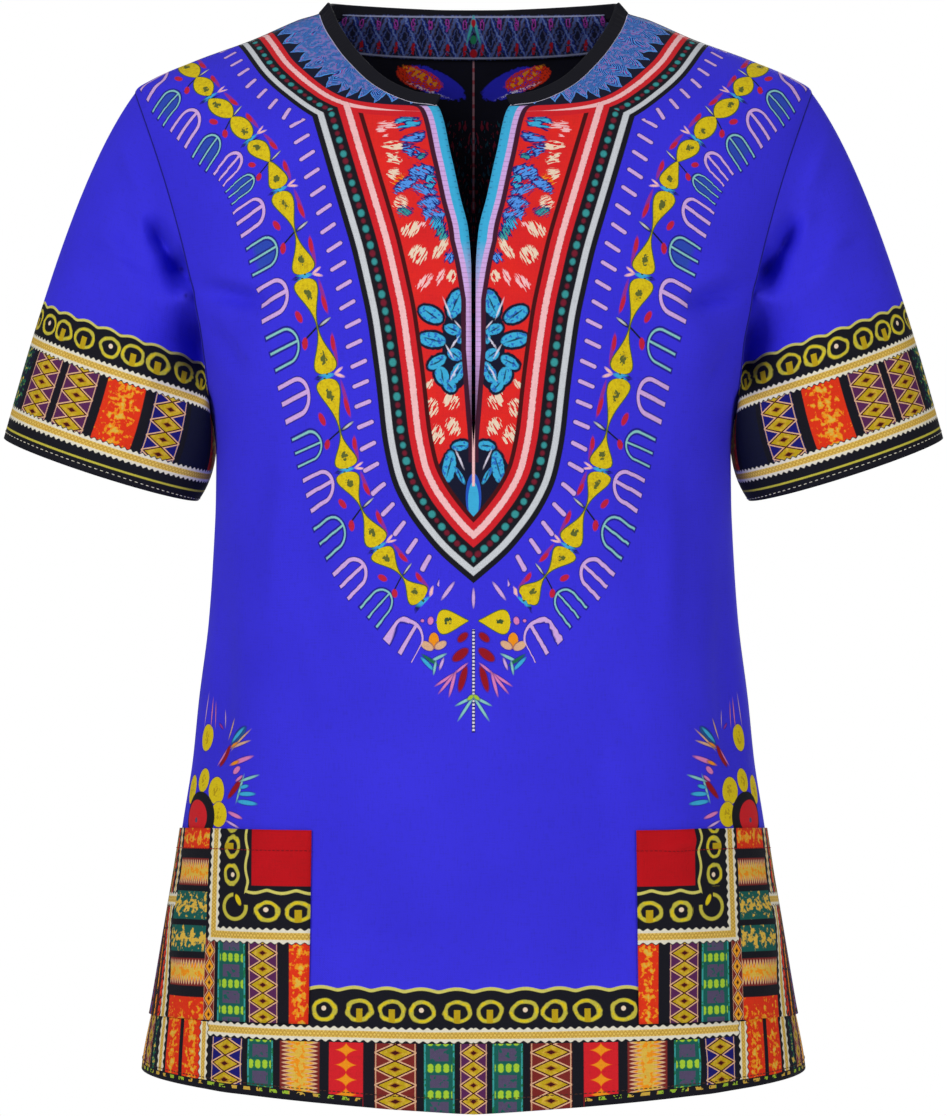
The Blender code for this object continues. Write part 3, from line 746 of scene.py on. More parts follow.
# Leaves of the cluster half way down the slit and of the one at its foot, and pale stems between
# them, the same way.
fieldLeaves = [
    (28.5, -219, 8.5, 4.9, 28), (27.5, -236, 9.0, 4.9, 8), (24.4, -251, 6.8, 3.6, -35),
    (12.3, -212, 9.6, 5.2, 107), (14.2, -229, 5.4, 3.6, 20), (8.7, -234, 4.6, 2.6, 100),
    (12.4, -246, 5.2, 4.0, 30), (21, -260, 6.2, 4.4, 70), (10.5, -258, 7.6, 4.0, 115),
    (15.8, -267, 4.8, 3.6, 40),
]
fieldStems = [(17.6, -215, 6.5, 0.6, 68), (12.6, -238, 4.0, 0.6, 125), (16.0, -244, 4.6, 0.6, 60),
              (10.4, -226, 3.0, 0.5, 50), (12.6, -258, 5.4, 0.6, 118)]
footLeaves = [(8.7, -307, 5.6, 3.2, -10), (16.3, -321, 10.6, 4.2, 98), (9.0, -327, 6.0, 1.6, 60)]
footStems = [(9.2, -316, 6.0, 0.6, 66)]


brush = {
    "rim": 0.0012, "rimFrom": 0.34, "from": 0.45,  # a mark shows where the streaks pass these
    "pull": (-0.006, 0.011),  # how far a streak draws it across and up
    "leafRim": 0.0019, "vein": 0.0005,
}


def paintField(dye, across, up):
    tear = dye.noise(420, 3)
    # streaks run level at the top of the field and lean towards the centre lower down
    lower = up.math("MULTIPLY_ADD", -16, -1.45, clamp=True)
    along = dye.pick(lower, across * -0.5 + up * 0.87, across * 1.0)
    beside = dye.pick(lower, across * 0.87 + up * 0.5, up * 1.0)
    streak = dye.noise(1.0, 1.0, dye.join(beside * 820, along * 110, 0.0))
    place = dye.join(across + tear * 0.004 + streak * brush["pull"][0] + 0.001,
                     up + streak * brush["pull"][1] - brush["pull"][1] / 2)
    for row in fieldMarks:
        tone, mask = row[5], dye.fromRow(place, row)
        if tone in ("cyan", "midBlue", "teal"):
            dye.paint(dye.fromRow(place, row, brush["rim"]) & (streak > brush["rimFrom"]),
                      tones["deepBlue"])
        dye.paint(mask & (streak > brush["from"]), tones["sky" if tone == "midBlue" else tone])
    return tear


def paintLeaves(dye, across, up, tear, leaves, stems):
    place = dye.join(across + tear * 0.0016 - 0.0008, up + tear * 0.0016 - 0.0008)
    for row in leaves:
        dye.paint(dye.fromRow(place, row, brush["leafRim"]), tones["navy"])
    for row in leaves:
        fill = dye.fromRow(place, row)
        dye.paint(fill, tones["cyan"])
        dye.paint(fill & (tear < 0.44) & 0.8, tones["midBlue"])
        x, z, long, _, turn = row
        dye.paint(dye.spot(place, x / 1000, z / 1000, long / 1700, brush["vein"], turn + 8),
                  tones["navy"])
    for row in stems:
        dye.paint(dye.fromRow(place, row), tones["white"])


slitCut = {
    "top": -0.0725, "low": -0.318, "line": 0.0033,
    "foot": -0.2090, "cyan": 0.0062, "cyanFade": 0.040,
    "fade": -0.2930, "lilac": 0.0036, "lilacFade": 0.050,
}


def paintSlit(dye, up, fromEdge):
    near = up < slitCut["top"]
    cyan, pale = (up.math("MULTIPLY_ADD", 1 / slitCut[fade], -slitCut[end] / slitCut[fade],
                          clamp=True)
                  for fade, end in (("cyanFade", "foot"), ("lilacFade", "fade")))
    inner = cyan * slitCut["cyan"]
    middle = inner + pale * slitCut["lilac"]
    dye.paint((fromEdge - middle - slitCut["line"]).inside() & near & (up > slitCut["low"]),
              tones["plum"])
    beads = (up * 1900).math("SINE") > 0.86
    dye.paint((fromEdge - middle).inside() & near & pale, dye.mix(beads & 0.3, tones["lilac"],
                                                                 tones["purple"]))
    beads = ((up * 1500).math("SINE") > 0.8) & fromEdge.near(0.0012, 0.0008)
    dye.paint((fromEdge - inner).inside() & near & cyan, dye.mix(beads & 0.5, tones["cyan"],
                                                                 tones["darkTeal"]))


# Feathers between the ring and the neck, pointing at the ring: nested chevrons on navy, by the
# distance in from the ring less a share of the distance from each feather's middle.
def paintFeathers(dye, along, depth, where):
    a, number = dye.repeat(along, 0.0146)
    chance = dye.chance(number)
    wander, tear = dye.noise(90, 1), dye.noise(330, 2)
    rise = depth - abs(a + wander * 0.010 - 0.005) * 1.6 + chance * 0.0030
    dye.paint(where, tones["navy"])
    feather = (0.0030 - rise).inside() & where
    ripple = (rise * 2050 + wander * 7).math("SINE")
    dye.paint(feather, shade(24, 34, 122))
    dye.paint(feather & (tear > 0.54) & (ripple < 0.3), tones["magenta"])
    dye.paint(feather & ripple.math("MULTIPLY_ADD", 3, -0.1, clamp=True), tones["sky"])
    dye.paint(feather & (ripple > 0.8) & (tear > 0.5), tones["cyan"])
    dye.paint(abs(rise - 0.0034).math("LESS_THAN", 0.0006) & where, tones["sky"])


# The end of the leaf row and the drop below it: ovals (x from the centre, z, half length, half
# width, turn, tone) in millimetres, each with a dark edge.
finial = [
    (0, -409, 6, 1.0, 90, "lilac"), (17.2, -404.1, 6.8, 1.2, 54, "lilac"),
    (28.8, -424.1, 2.6, 1.9, 80, "rose"), (34.3, -424.1, 1.1, 1.0, 0, "rose"),
    (7.2, -435.2, 4.2, 2.3, 42, "wine"), (8.8, -446.9, 6.4, 3.0, 38, "wine"),
    (7.2, -462.9, 8.8, 2.2, 75, "wine"), (8.3, -456.0, 4.9, 0.8, 39, "rose"),
    (18.5, -463.2, 7.6, 0.9, 33, "rose"), (17.4, -465.5, 8.3, 0.9, 51, "rose"),
    (14.1, -466.5, 7.8, 1.0, 75, "rose"), (5.8, -477.9, 6.2, 0.9, 27, "forkTeal"),
    (4.9, -482.6, 8.8, 0.9, 57, "forkTeal"), (2.0, -475.5, 2.4, 1.2, 40, "lime"),
    (26.6, -437.5, 3.4, 5.4, 0, "orange"), (22.0, -440.5, 4.2, 2.4, 30, "sand"),
    (31.2, -441.0, 4.6, 2.6, -30, "sand"), (24.0, -449.0, 5.8, 1.0, 26, "forkTeal"),
    (29.0, -450.5, 6.2, 1.0, -34, "green"), (31.0, -453.0, 5.6, 1.2, -46, "cyan"),
    (21.4, -453.0, 3.8, 0.9, 70, "lilac"), (26.0, -455.6, 4.2, 0.8, 80, "forkTeal"),
]


# Ovals from a table's rows, each over a faint dark rim; a yellow one is blotted in its middle.
def paintRows(dye, place, rows, sign=1):
    for row in rows:
        dye.paint(dye.fromRow(place, row, 0.0006, sign) & 0.7, tones["deepBlue"])
        dye.paint(dye.fromRow(place, row, 0.0, sign), tones[row[5]])
        if row[5] == "yellow":
            x, z, long, wide, turn, _ = row
            blot = dye.spot(place, x / 1000, z / 1000, long / 2000, wide / 2600, turn)
            dye.paint(blot & (dye.noise(420) > 0.5), tones["mustard"])


finialCut = {
    "stemMiddle": -0.4643, "stemHalf": 0.0343, "stemWide": 0.0008,
    "leafAt": -0.4241, "leafFrom": 0.0032, "leafLong": 0.0215, "leafHigh": 0.0132,
    "leafTo": 0.0248,
}


def paintFinial(dye, across, up):
    place = dye.join(across, up)
    beads = (up * 2600).math("SINE") > -0.3
    cut = finialCut
    stem = abs(up - cut["stemMiddle"]) - cut["stemHalf"]
    stem = stem.math("MAXIMUM", across - cut["stemWide"])
    dye.paint((stem - 0.0004).inside(), tones["deepBlue"])
    dye.paint(stem.inside() & beads, tones["white"])
    paintRows(dye, place, finial, -1)
    # a single leaf that points at the centre: its width as in the row, the tip longer drawn
    q = (across - cut["leafFrom"]) * (1 / cut["leafLong"])
    tip = q.math("MAXIMUM", 0.0) ** 1.1 * (1 - q * q * q * q).math("SQRT") * cut["leafHigh"]
    edge = abs(up - cut["leafAt"] + q * 0.001) - tip
    dye.paint((edge - 0.0007).inside() & (across > cut["leafFrom"])
              & (across < cut["leafTo"] + 0.0007), tones["scribble"])
    dye.paint(edge.inside() & (across > cut["leafFrom"] + 0.0004) & (across < cut["leafTo"]),
              tones["yellow"])
    blot = dye.oval(place, 0.0178, cut["leafAt"], 0.0030, 0.0024)
    dye.paint((blot + dye.noise(520).math("MULTIPLY_ADD", 4.4, -2.9)).inside(0.3),
              tones["scribble"])


# Ovals in millimetres and degrees, the foot's in metres; then the line below the slit, and where
# the ladder of dashes leaves off.
fieldCut = {
    "cluster": (11, -240, 10, 29, 0), "foot": (0, -0.352, 0.031, 0.049),
    "drop": [(0, -341, 5.2, 15.5, 0, "midBlue"), (0, -344, 3.6, 13.0, 0, "cyan")],
    "pinkLine": (-0.334, -0.268), "dashesFrom": 0.0230, "dashesAbove": -0.380,
}


# The neck's print. Behind, there's no slit: only the ring, its bands and the leaf row.
def neckPrint(name, slit):
    dye = Dye(name)
    cloth = dye.attribute("clothAt")
    blueGround(dye)
    if slit:
        u, up, fromEdge = dye.split(cloth)
        across = abs(u)
        paintFinial(dye, across, up)
    paintLeafRow(dye, dye.attribute("leafAt"))
    ringS, ringD, neckD = dye.split(dye.attribute("ringAt"))
    ring = ringD * (1 / bands["shrink"])
    if slit:
        slantS, slantD, _ = dye.split(dye.attribute("slantAt"))
        bySlant = slantD > ring
        paintBands(dye, ringS + bySlant * (slantS - ringS), slantD.math("MAXIMUM", ring),
                   (across > fieldCut["dashesFrom"]) | (up > fieldCut["dashesAbove"]))
        kept = dye.colour
        dye.colour = dye.mix(dye.noise(60), tones["fieldRed"], tones["red"])
        tear = paintField(dye, across, up)
        place = dye.join(across, up)
        dye.paint(dye.fromRow(place, fieldCut["cluster"]), tones["navy"])
        paintLeaves(dye, across, up, tear, fieldLeaves, fieldStems)
        dye.paint((dye.oval(place, *fieldCut["foot"]) - 1).inside(0.02), tones["navy"])
        paintLeaves(dye, across, up, tear, footLeaves, footStems)
        for row in fieldCut["drop"]:
            dye.paint(dye.fromRow(place, row), tones[row[5]])
        # the ring's pink line runs on a little way over the field
        top = (bands["beads"] - ring).inside(0.0006) & (slantD > bands["pink"])
        dye.paint(top, tones["red"])
        taper = slantD.math("MULTIPLY_ADD", -28, 1.75, clamp=True) * 0.0021
        dye.paint((abs(ring - 0.0246) - taper).inside() & top, tones["pink"])
        paintSlit(dye, up, fromEdge)
        low, high = fieldCut["pinkLine"]
        dye.paint((across - 0.0009).inside() & (up > low) & (up < high), tones["pink"])
        field = (bands["maroon"] - slantD).inside(0.0006)
        field = field | ((bands["pink"] - slantD).inside(0.0006) & top)
        dye.colour = dye.mix(field, kept, dye.colour)
    else:
        paintBands(dye, ringS, ring, ring < 0.0)
    feather = (bands["innerRed"] - ring).inside(0.0006)
    paintFeathers(dye, ringS, ring - bands["innerRed"], feather)
    dye.paint((abs(neckD - 0.0010) - 0.0007).inside(), tones["white"])
    return dye.finish(cloth)


# The flower and sprigs above each pocket: ovals (round from the centre, z, half length, half
# width, turn, tone) in millimetres, each with a dark edge.
sideFlower = [
    (231.5, -542.0, 10, 8.6, 110, "yellow"), (211.4, -534.8, 8.0, 7.8, 90, "yellow"),
    (192.0, -541.0, 8.8, 10.2, 120, "yellow"), (186.5, -556.8, 8.4, 9.2, 100, "yellow"),
    (216.6, -505.9, 9.1, 8.4, 90, "yellow"), (186.1, -517.2, 9.5, 2.8, 132, "wine"),
    (190.5, -518.5, 6.5, 0.8, 132, "rose"), (180.8, -498.8, 7.2, 0.9, 120, "sand"),
    (169.7, -503.1, 10.6, 3.4, 145, "darkTeal"), (170.4, -502.4, 8.4, 1.4, 145, "cyan"),
    (167.0, -505.8, 11.0, 0.7, 145, "sand"), (167.7, -508.8, 10.2, 0.9, 165, "sand"),
    (174.0, -509.2, 4.6, 0.9, 160, "orange"), (165.6, -519.7, 12, 1.5, 164, "rose"),
    (171.6, -521.4, 4.6, 1.1, 164, "orange"), (169.1, -526.2, 4.0, 2.0, 150, "rose"),
    (169.6, -538.3, 10, 2.2, 136, "wine"), (166.0, -531.6, 3.6, 1.0, 150, "rose"),
    (164.6, -538.5, 9.0, 0.9, 110, "forkTeal"), (156.8, -531.2, 8.0, 0.9, 164, "forkTeal"),
    (160.8, -537.0, 3.8, 1.2, 168, "cyan"), (158.4, -541.8, 7.2, 1.4, 178, "cyan"),
    (158.0, -547.6, 8.4, 1.5, 184, "cyan"), (168.8, -556.5, 6.7, 1.3, 15, "rose"),
    (171.2, -562.6, 6.0, 0.8, 18, "lilac"), (213.0, -489.0, 8.5, 0.6, 92, "rose"),
    (221.5, -487.0, 9.5, 0.6, 100, "lilac"), (208.0, -490.0, 7.0, 0.5, 84, "rose"),
    (194.0, -492.5, 5.0, 0.6, 78, "lilac"), (199.0, -497.5, 3.2, 0.8, 30, "magenta"),
]


flowerHeart = [(212.5, -560, 21.5, 17.6, 0, "black"), (216.5, -560, 15.8, 11.8, 0, "red"),
               (216.1, -562, 2.0, 1.8, 0, "slate")]


def bluePlain(name, flower):
    dye = Dye(name)
    cloth = dye.attribute("clothAt")
    blueGround(dye)
    if flower:
        u, up, _ = dye.split(cloth)
        place = dye.join(abs(u), up)
        paintRows(dye, place, sideFlower)
        for row in flowerHeart:
            dye.paint(dye.fromRow(place, row), tones[row[5]])
    return dye.finish(cloth)


ghosts = [(30, -40, 25, 8.5, 20, shade(40, 40, 196)), (43, -37, 20, 7, 16, tones["ember"]),
          (42, -35, 17, 3, 24, tones["orange"]), (35, -45, 16.5, 0.9, 18, tones["white"])]
ghostBelow = (0.060, -0.066)  # the streaks' width and top


# The wrong side: dark round the neck, with what the print leaves there, and duller blue below.
def wrongSide():
    dye = Dye("wrongSide")
    cloth = dye.attribute("clothAt")
    u, up, _ = dye.split(cloth)
    across = abs(u)
    tear, fine = dye.noise(330, 3), dye.noise(900)
    dye.colour = dye.mix(fine, shade(44, 38, 176), shade(36, 30, 158))
    neck = up.math("MULTIPLY_ADD", 20, 7.0, clamp=True) & (0.150 - across).math(
        "MULTIPLY", 60, clamp=True)
    dye.paint(neck, shade(12, 12, 26))
    place = dye.join(across + tear * 0.008 - 0.004, up + tear * 0.006 - 0.003)
    for row, torn in zip(ghosts, (1.0, fine > 0.42, tear > 0.5, fine > 0.5)):
        dye.paint(dye.fromRow(place, row) & torn, row[5])
    streak = dye.noise(1.0, 2, dye.join(across * 420, up * 150, 0.0))
    low = (up < ghostBelow[1]) & (across < ghostBelow[0])
    dye.paint(low & (streak > 0.60) & 0.8, tones["dotRed"])
    dye.paint(low & (streak < 0.38) & 0.7, shade(16, 74, 92))
    knots = (up * 760).math("SINE") > 0.5
    dye.paint((across - 0.0007).inside() & (up > -0.130) & (up < -0.024),
              dye.mix(knots & 0.7, shade(150, 110, 120), tones["wine"]))
    return dye.finish(cloth)


strands = {
    "pitch": 0.0124, "deep": 0.0225,
    "crossing": [(1, "slate", 0.24), (-1, "dusk", 0.26), (1, "steel", 0.12), (-1, "mist", 0.08)],
    "middle": [(2.2, 7, 7, 0.9, 68, "teal"), (-2.2, 7, 7, 0.9, 112, "teal"),
               (0, 12, 2.2, 2.2, 0, "green"), (0, 19, 2.6, 2.2, 0, "wine"),
               (0, 4, 1.6, 1.6, 0, "wine")],
}


# The neck facing: crossing feathers on navy between two pale lines, by the place round and the
# share of the depth.
def facingPrint():
    dye = Dye("facingPrint")
    cloth = dye.attribute("clothAt")
    u, _, share = dye.split(cloth)
    dye.colour = tones["navy"]
    a, _ = dye.repeat(u, strands["pitch"])
    tear = dye.noise(420, 2)
    x = a * (2 / strands["pitch"])
    y = share.math("MULTIPLY_ADD", 2.3, -1.15) + tear * 0.8 - 0.4
    for turn, tone, width in strands["crossing"]:
        strand = (abs(y * turn + x) - width).inside(0.12)
        dye.paint(strand & 0.6, tones[tone])
        other = (abs(abs(y * turn - x) - 0.55) - width * 0.45).inside(0.12)
        dye.paint(other & 0.4, tones[tone])
    cell = dye.join(x, y)
    dye.paint(dye.spot(cell, 0.0, 0.62, 0.20, 0.34, 20, edge=0.05) & (tear > 0.42), tones["wine"])
    dye.paint(dye.spot(cell, 0.0, -0.66, 0.26, 0.22, 0, edge=0.05) & 0.8, tones["magenta"])
    dye.paint(dye.spot(cell, 0.0, -0.66, 0.13, 0.10, 0, edge=0.05), tones["navy"])
    for at in (0.05, 0.95):
        dye.paint((abs(share - at) - 0.022).inside(0.02) & 0.8, shade(150, 156, 190))
    middle = dye.join(u, share * strands["deep"])
    for row in strands["middle"]:
        dye.paint(dye.fromRow(middle, row), tones[row[5]])
    return dye.finish(cloth)


# Cotton of one tone, by the place in the object.
def evenCotton(name, tone):
    dye = Dye(name)
    place = dye.node("ShaderNodeTexCoord", out="Object")
    dye.colour = dye.mix(dye.noise(60), tone, tuple(0.8 * v for v in tone[:3]) + (1.0,))
    return dye.finish(place)


# A scalloped tape with a chain worked along its middle.
def paintTape(dye, along, across, where=1.0, half=0.0044, period=0.0058):
    far = abs(across)
    scallop = (along * (2 * np.pi / period)).math("SINE").math("MULTIPLY_ADD", 0.0007, half)
    dye.paint((far - scallop - 0.0006).inside() & where, tones["black"])
    dye.paint((far - scallop).inside() & where, tones["trim"])
    band = (far - half * 0.52).inside() & where
    dye.paint(band, dye.mix(dye.noise(300), tones["straw"], tones["gold"]))
    swing = (along * (2 * np.pi / 0.0052)).math("SINE") * (half * 0.34)
    link = (abs(abs(across - swing) - half * 0.10) - half * 0.07).inside(0.0004)
    other = (abs(across + swing) - half * 0.11).inside(0.0004)
    dye.paint((link | other) & band & 0.7, tones["darkGold"])


# A row of rings on black; each holds a bar from below or a pale dot, by its number.
def paintRings(dye, along, across, pitch, where=1.0, wide=0.0094, high=0.0077, thick=0.0025):
    a, number = dye.repeat(along, pitch)
    chance = dye.chance(number)
    slide = a + chance.math("MULTIPLY_ADD", 0.0024, -0.0012)
    wobble = dye.noise(95).math("MULTIPLY_ADD", 0.0060, -0.0030)
    radius = dye.vector("LENGTH", dye.join(slide * (high / wide) + wobble, across, 0.0))
    ring = abs(radius - (high - thick / 2)) - thick / 2
    dye.paint(ring.inside(0.0007) & where, tones["ring"])
    core = (ring + 0.0006).inside(0.0007) & (dye.noise(160) > 0.50)
    dye.paint(core & where, tones["yellow"])
    bar = (abs(slide) - 0.0021).inside() & (across < 0.0012) & (radius < high)
    dye.paint(bar & (chance > 0.34) & where, tones["mustard"])
    dot = (dye.vector("LENGTH", dye.join(slide - 0.0004, across - 0.0010, 0.0)) - 0.0016).inside()
    dye.paint(dot & (chance < 0.34) & where, tones["cream"])


# A wavy line: a row of low arches.
def paintWave(dye, along, across, where=1.0, period=0.0230, thick=0.0011):
    sine = (along * (np.pi / period)).math("SINE")
    arch = (sine * sine + 0.10).math("SQRT").math("MULTIPLY_ADD", 0.0026, -0.0018)
    dye.paint((abs(across - arch) - thick).inside() & where, tones["wave"])


blockKinds = {  # ground, figure, and which figure it is
    "plum": ("purple", "mustard", 0.0), "earth": ("brown", "mustard", 0.0),
    "clay": ("brown", "orange", 0.0), "indigo": ("deepBlue", "mustard", 0.0),
    "star": ("red", "orange", 0.2), "panel": ("green", "lime", 0.4),
    "flame": ("ember", "orange", 0.6), "comb": ("brown", "gold", 0.8),
    # The last kind is plain navy with no figure: painted shade on a cuff's print block where the
    # cuff turns in under the arm.
    "dark": ("navy", "green", 0.6), "moss": ("pine", "gold", 0.6), "paintedShade": ("navy", "navy", 1.0),
}
blockCut = {"diamond": 0.0107, "star": 0.0098, "panel": 0.0176}


# A row of blocks with black between them: diamonds, four-pointed stars, a panelled green one,
# flames or a comb. Rows are where a block starts and ends along the row, and its kind.
def paintBlocks(dye, along, down, blocks, where):
    low, high = blocks[0][0], blocks[-1][1]
    cuts = [low] + [(a[1] + b[0]) / 2 for a, b in zip(blocks[:-1], blocks[1:])]
    ends = blocks[-1][1] - low
    numbers, grounds, figures = [], [], []
    for cut, (start, end, kind) in zip(cuts, blocks):
        ground, figure, code = blockKinds[kind]
        numbers.append((cut, (((start + end) / 2 - low) / ends, (end - start) / 2 / ends * 4,
                              code, 1)))
        grounds.append((cut, tones[ground]))
        figures.append((cut, tones[figure]))
    ramp = dye.stripes(along, low, high, numbers)
    middle, half, code = dye.parts(ramp)
    ground = dye.stripes(along, low, high, grounds)
    figure = dye.stripes(along, low, high, figures)
    x = abs(along - low - middle * ends)
    half = half * (ends / 4)
    share = x / half
    body = (x - half).inside() & where
    grain = dye.noise(330, 3)
    dye.paint(where, tones["black"])
    dye.paint(body, ground)
    shades = dye.mix(grain.math("MULTIPLY_ADD", 3, -1.3, clamp=True), figure, tones["gold"])
    # diamonds, level lines of |x| and |y| added together
    y, _ = dye.repeat(down, blockCut["diamond"])
    level = share.math("MULTIPLY_ADD", 1.16, abs(y) * (2 / blockCut["diamond"]))
    diamond = body & code.near(0.0, 0.1)
    dye.paint(diamond & level.near(1.18, 0.09), tones["sand"])
    dye.paint(diamond & (level < 1.08), tones["maroon"])
    dye.paint(diamond & (level < 0.92), shades)
    dye.paint(diamond & (level < 0.40), tones["darkGold"])
    dye.paint(diamond & (level < 0.27), tones["maroon"])
    dye.paint(body & share.near(0.94, 0.03) & (code < 0.1) & 0.8, tones["sand"])
    # stars
    y, _ = dye.repeat(down, blockCut["star"])
    level = (share * 1.45) ** 0.66 + (abs(y) * (1.95 / blockCut["star"])) ** 0.66
    star = body & code.near(0.2, 0.1)
    dye.paint(star & (1.12 - level).math("MULTIPLY", 8, clamp=True), tones["ember"])
    dye.paint(star & (1.00 - level).math("MULTIPLY", 8, clamp=True), figure)
    # panelled green
    y, _ = dye.repeat(down, blockCut["panel"])
    far = abs(y)
    panel = body & code.near(0.4, 0.1)
    dye.paint(panel & (share < 0.86) & (far < 0.0060), tones["pine"])
    dye.paint(panel & (share < 0.60) & (far < 0.0042) & (grain > 0.40), tones["slate"])
    dot, _ = dye.repeat(along, 0.0052)
    lime = dye.vector("LENGTH", dye.join(dot, far - 0.0078, 0.0)) - grain * 0.0010
    dye.paint(panel & (lime - 0.0014).inside(0.0005) & (share < 0.84), figure)
    dye.paint(panel & share.near(0.93, 0.05) & (grain > 0.45), tones["teal"])
    # flames
    flame = body & code.near(0.6, 0.1)
    lick = share.math("MULTIPLY_ADD", -0.22, grain) + (down * 620).math("SINE") * 0.05
    dye.paint(flame & lick.math("MULTIPLY_ADD", 14, -5.7, clamp=True), figure)
    dye.paint(flame & lick.math("MULTIPLY_ADD", 14, -7.4, clamp=True), tones["gold"])
    # a comb
    teeth = abs((down * 1150).math("SINE"))
    comb = body & code.near(0.8, 0.1)
    dye.paint(comb & (share - teeth * 0.45 - 0.45).inside(0.1), tones["sand"])
    dye.paint(comb & (share - teeth * 0.5 - 0.22).inside(0.1), dye.mix(grain > 0.52, figure,
                                                                     tones["orange"]))


hemCut = {
    "reach": -0.660, "wave": -0.6700, "rings": -0.6842, "ringPitch": 0.0222,
    "tape": -0.7000, "blocks": -0.7055,
    "turn": 0.1915, "lap": 0.0045,  # where the level part ends at the side's upright one
    "upright": 0.0015, "uprightTop": 0.0040, "uprightHalf": 0.0034,
    "outer": 0.2405, "outerHalf": 0.0042,
    "seam": 0.290, "rise": 0.0154, "edge": -0.7368,  # the lower edge rises towards the side
    "flecks": 0.0054, "flecksFrom": 0.0742,
}
hemBlocks = [(-0.0090, 0.0090, "plum"), (0.0125, 0.0330, "panel"), (0.0380, 0.0660, "earth"),
             (0.0740, 0.0975, "star"), (0.1040, 0.1320, "comb"), (0.1370, 0.1560, "panel"),
             (0.1600, 0.1850, "indigo")]
sideBlocks = [(0.1960, 0.2135, "flame"), (0.2175, 0.2330, "flame"), (0.2490, 0.2560, "dark"),
              (0.2590, 0.2720, "earth"), (0.2760, 0.2920, "comb")]


# The border round the hem: wave, rings, tape and blocks, and upright strips at the sides.
def paintHem(dye, u, up):
    across = abs(u)
    inner = across < hemCut["turn"] + hemCut["lap"]
    low = up < hemCut["wave"] - 0.0006
    dye.paint((up - hemCut["wave"] - 0.0004).inside(0.0006), tones["black"])
    paintWave(dye, across, up - hemCut["wave"], inner)
    paintRings(dye, across, up - hemCut["rings"], hemCut["ringPitch"], inner & low)
    paintBlocks(dye, across, up, hemBlocks, (up < hemCut["blocks"]) & inner)
    paintTape(dye, across, up - hemCut["tape"], inner)
    beside = across > hemCut["turn"]
    paintBlocks(dye, across, up, sideBlocks, beside)
    paintTape(dye, up, across - hemCut["turn"] - hemCut["upright"],
              (up < hemCut["tape"] + hemCut["uprightTop"]) & (across > 0.15),
              half=hemCut["uprightHalf"])
    paintTape(dye, up, across - hemCut["outer"], beside, half=hemCut["outerHalf"])
    # a last row of flecks that follows the hem
    rise = (1 - across * (1 / hemCut["seam"])).math("MAXIMUM", 0.0) ** form["hemBend"]
    edge = up + rise * hemCut["rise"] - hemCut["edge"]
    last = edge + dye.noise(60) * 0.0016 < hemCut["flecks"]
    last = last & (across > hemCut["flecksFrom"])
    dye.paint(last, tones["black"])
    flecks = ((across * 640 + dye.noise(90) * 5).math("SINE") > 0.0) & edge.near(0.0028, 0.0011)
    dye.paint(flecks & last & (dye.noise(420) > 0.44) & 0.8,
              dye.mix((across * 150).math("SINE") > 0, tones["gold"], tones["lime"]))


def hemPrint():
    dye = Dye("hemPrint")
    cloth = dye.attribute("clothAt")
    blueGround(dye)
    u, up, _ = dye.split(cloth)
    paintHem(dye, u, up)
    return dye.finish(cloth)


pocketRows = [(0.1107, 0.1251, "flame"), (0.1330, 0.1544, "plum"), (0.1568, 0.1802, "panel"),
              (0.1830, 0.1925, "clay")]
columnRows = [(-0.7300, -0.6790, "flame"), (-0.6715, -0.6530, "comb"), (-0.6485, -0.6310, "moss"),
              (-0.6270, -0.6080, "moss"), (-0.6040, -0.5855, "comb"), (-0.5790, -0.5640, "flame")]


pocketLayout = {  # places are across from the centre and down; widths are out from the square
    "square": (0.1515, 0.6025),
    "wave": 0.0040,
    "rings": 0.0170, "ringPitch": 0.0177, "ringBand": (0.0080, 0.0260), "squeeze": 0.864,
    "ringsFrom": (0.1088, 0.5680), "ringsTo": (0.1500, 0.6035),
    "openRing": (0.1655, 0.6172), "openRadius": 0.0082, "openHalf": 0.0012,
    "openBand": (0.0040, 0.0290), "openLeaf": (162.5, -612.5, 4.0, 1.8, 60),
    "tape": 0.0335, "tapeBand": 0.042, "tapeTo": (0.1985, 0.6430),
    "blocks": 0.0278, "rowsBelow": 0.6390, "rowsTo": 0.1940, "column": (0.1925, 0.2315),
    "cross": 0.6130, "crossTo": 0.262, "lowTape": 0.2400, "highTape": 0.2385, "sideWave": 0.2520,
}
sideStrips = [(0.2315, "black"), (0.2450, "ember"), (0.2500, "maroon"), (0.2560, "orange"),
              (0.2590, "black"), (0.2650, "brown"), (0.2710, "midBlue"), (0.2740, "brown"),
              (0.2820, "black"), (0.2880, "ember"), (0.3100, None)]


